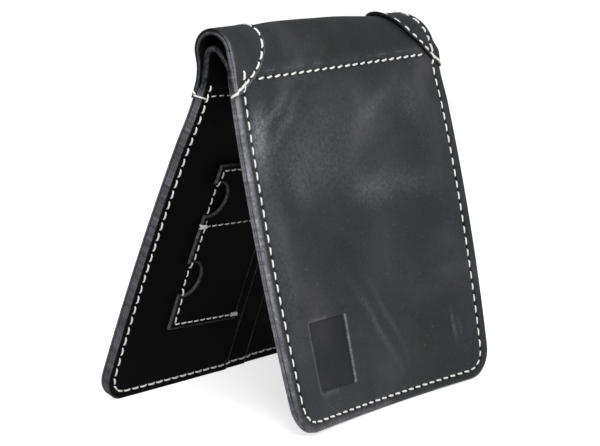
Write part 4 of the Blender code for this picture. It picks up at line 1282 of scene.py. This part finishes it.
def makeTacks():
    right = pocket["right"] - tack["length"] / 2
    barTack("top", right, pocket["top"] + pocket["stitch"])
    barTack("divider", pocket["left"] + tack["dividerInset"], pocket["divider"])
    barTack("bottom", right, pocket["bottom"] - pocket["stitch"])


# Thread that leaves the seams' crossing, runs round the side edge and comes back on the inner side, in two
# strands: a radius, and points of inset from the edge, v, 1 on the inner side and height off the leather,
# all in millimetres
wrapStrands = {
    -1: [(0.34, [(4.1, 0.3, 0, -0.35), (3.8, 0.6, 0, 0.12), (2.4, 1.4, 0, 0.22), (0.8, 2.2, 0, 0.16),
                 (0.5, 2.4, 0, -0.3)]),
         (0.24, [(0.6, 2.7, 0, -0.3), (0.1, 2.9, 0, 0.05), (-0.12, 3.2, 0, -0.7), (-0.12, 3.5, 1, -0.9),
                 (0.3, 3.7, 1, -0.4)])],
    1: [(0.24, [(0.5, -1.6, 0, -0.3), (-0.02, -1.4, 0, -0.2), (-0.15, -1.1, 0, -0.8), (0.3, -1.0, 0, -1.2)]),
        (0.32, [(0.4, -0.5, 0, -0.5), (-0.12, -0.55, 0, -0.9), (-0.15, -0.9, 0, -2.2), (0.1, -1.1, 1, 0.05),
                (1.0, -0.9, 1, 0.2), (1.8, -0.5, 1, 0.15), (2.2, -0.3, 1, -0.4)])],
}


def edgeWrap(side, endName, patch):
    strands = []
    for radius, route in wrapStrands[side]:
        curve = bpy.data.curves.new("wrap", "CURVE")
        curve.dimensions = "3D"
        curve.bevel_depth = radius * mm
        curve.bevel_resolution = 2
        curve.resolution_u = 5
        curve.use_fill_caps = True
        spline = curve.splines.new("NURBS")
        spline.points.add(len(route) - 1)
        for point, (inset, v, onInner, height) in zip(spline.points, route):
            if onInner:
                depth = innerDepth(side, patch["end"] * halfWidth) + height * mm
            else:
                depth = -patchLift(patch, -v * mm if side < 0 else spineLength + v * mm) - height * mm
            point.co = (*panelPoint(side, patch["end"] * (halfWidth - inset * mm), v * mm, depth), 1.0)
        spline.order_u = 3
        spline.use_endpoint_u = True
        strands.append(bpy.data.objects.new("wrap", curve))
        bpy.context.collection.objects.link(strands[-1])
    node = f"edge_wrap_{halves[side]}_{endName}"
    joinAs(f"{node}_strands", strands)
    bpy.ops.object.convert(target="MESH")
    piece = bpy.context.active_object
    if not piece.data.uv_layers:
        piece.data.uv_layers.new(name="UVMap")
    bpy.ops.object.shade_smooth()
    finish(piece, waxedThread, [node], f"{halves[side]}_half")


sewHalves()
sewSpine()
sewSmallPocket()
makeTacks()
for wrapSide in halves:
    for patchName, patch in patches.items():
        edgeWrap(wrapSide, patchName, patch)
bpy.data.objects.remove(template, do_unlink=True)
print("seams sewn")

# Floor, light and camera

studio = dict(floorSize=8.0, floorSink=0.02 * mm, floorColour="EDEDED", floorGlow=0.66, world=0.36,
              backdrop=1.0)
lamps = {
    "key": dict(place=(-0.36, -0.36, 0.40), size=0.30, power=2.5),
    "fill": dict(place=(0.8, -0.5, 0.5), size=0.8, power=1.0),
    "top": dict(place=(-0.1, 0.25, 1.0), size=0.8, power=2.6),
}
lampTarget = Vector((0, 0, 0.05))
# The photograph's view, found from the wallet's stitch lines; the target is counted from the front seam
view = dict(azimuth=math.radians(-52.629), elevation=math.radians(9.884), roll=math.radians(-0.018),
            distance=659.8 * mm, focal=2526.6, imageWidth=600, sensor=36.0, clip=(0.02, 20.0),
            target=(-10.096 * mm, 5.977 * mm, -40.60 * mm))


def seenBy(tree, *rays):
    # 1 for the kinds of ray that are named
    seen, *others = [addNode(tree, "ShaderNodeLightPath", take=f"Is {ray} Ray") for ray in rays]
    for other in others:
        seen = addNode(tree, "ShaderNodeMath", {0: seen, 1: other}, operation="MAXIMUM")
    return seen


def makeFloor():
    bpy.ops.object.select_all(action="DESELECT")
    bpy.ops.mesh.primitive_plane_add(size=studio["floorSize"], location=(0, 0, -studio["floorSink"]))
    floor = bpy.context.active_object
    floor.name = "studio_floor"
    # matte white background paper: rays from the camera and reflections see it white, and its shadow stays
    material, tree, shader = newMaterial("white_studio_paper")
    shader.inputs["Base Color"].default_value = hexColour(studio["floorColour"])
    shader.inputs["Roughness"].default_value = 0.9
    shader.inputs["Specular IOR Level"].default_value = 0.0
    glow = addNode(tree, "ShaderNodeMath", {
        0: seenBy(tree, "Camera", "Glossy", "Transmission"), 1: studio["floorGlow"]}, operation="MULTIPLY")
    emit = addNode(tree, "ShaderNodeEmission", {"Strength": glow})
    both = addNode(tree, "ShaderNodeAddShader", {0: shader.outputs["BSDF"], 1: emit})
    tree.links.new(both, tree.nodes["Material Output"].inputs["Surface"])
    floor.data.materials.append(material)


def makeWorld():
    world = bpy.data.worlds.new("studio_world")
    bpy.context.scene.world = world
    world.use_nodes = True
    tree = world.node_tree
    light = tree.nodes["Background"]
    light.inputs["Color"].default_value = (1.0, 1.0, 1.0, 1.0)
    light.inputs["Strength"].default_value = studio["world"]
    white = addNode(tree, "ShaderNodeBackground", {
        "Color": (1.0, 1.0, 1.0, 1.0), "Strength": studio["backdrop"]})
    mix = addNode(tree, "ShaderNodeMixShader", {
        0: seenBy(tree, "Camera", "Transmission"), 1: light.outputs["Background"], 2: white})
    tree.links.new(mix, tree.nodes["World Output"].inputs["Surface"])


def makeLamps():
    for name, lamp in lamps.items():
        light = bpy.data.lights.new(name, "AREA")
        light.shape = "DISK"
        light.size = lamp["size"]
        light.energy = lamp["power"]
        holder = bpy.data.objects.new(name, light)
        holder.location = lamp["place"]
        holder.rotation_euler = (lampTarget - Vector(lamp["place"])).to_track_quat("-Z", "Y").to_euler()
        bpy.context.collection.objects.link(holder)


def makeCamera():
    data = bpy.data.cameras.new("photo_camera")
    data.sensor_width = view["sensor"]
    data.lens = view["focal"] * view["sensor"] / view["imageWidth"]
    data.clip_start, data.clip_end = view["clip"]
    camera = bpy.data.objects.new("photo_camera", data)
    bpy.context.collection.objects.link(camera)
    azimuth, elevation = view["azimuth"], view["elevation"]
    back = Vector((math.sin(azimuth) * math.cos(elevation), -math.cos(azimuth) * math.cos(elevation),
                   math.sin(elevation)))
    right = (-back).cross(Vector((0, 0, 1))).normalized()
    up = right.cross(-back)
    cosine, sine = math.cos(view["roll"]), math.sin(view["roll"])
    axes = Matrix((cosine * right + sine * up, cosine * up - sine * right, back)).transposed().to_4x4()
    target = seams[-1] + Vector(view["target"])
    camera.matrix_world = Matrix.Translation(target + back * view["distance"]) @ axes
    bpy.context.scene.camera = camera


makeFloor()
makeWorld()
makeLamps()
makeCamera()
bpy.context.scene.view_settings.view_transform = "Standard"
print("studio set")
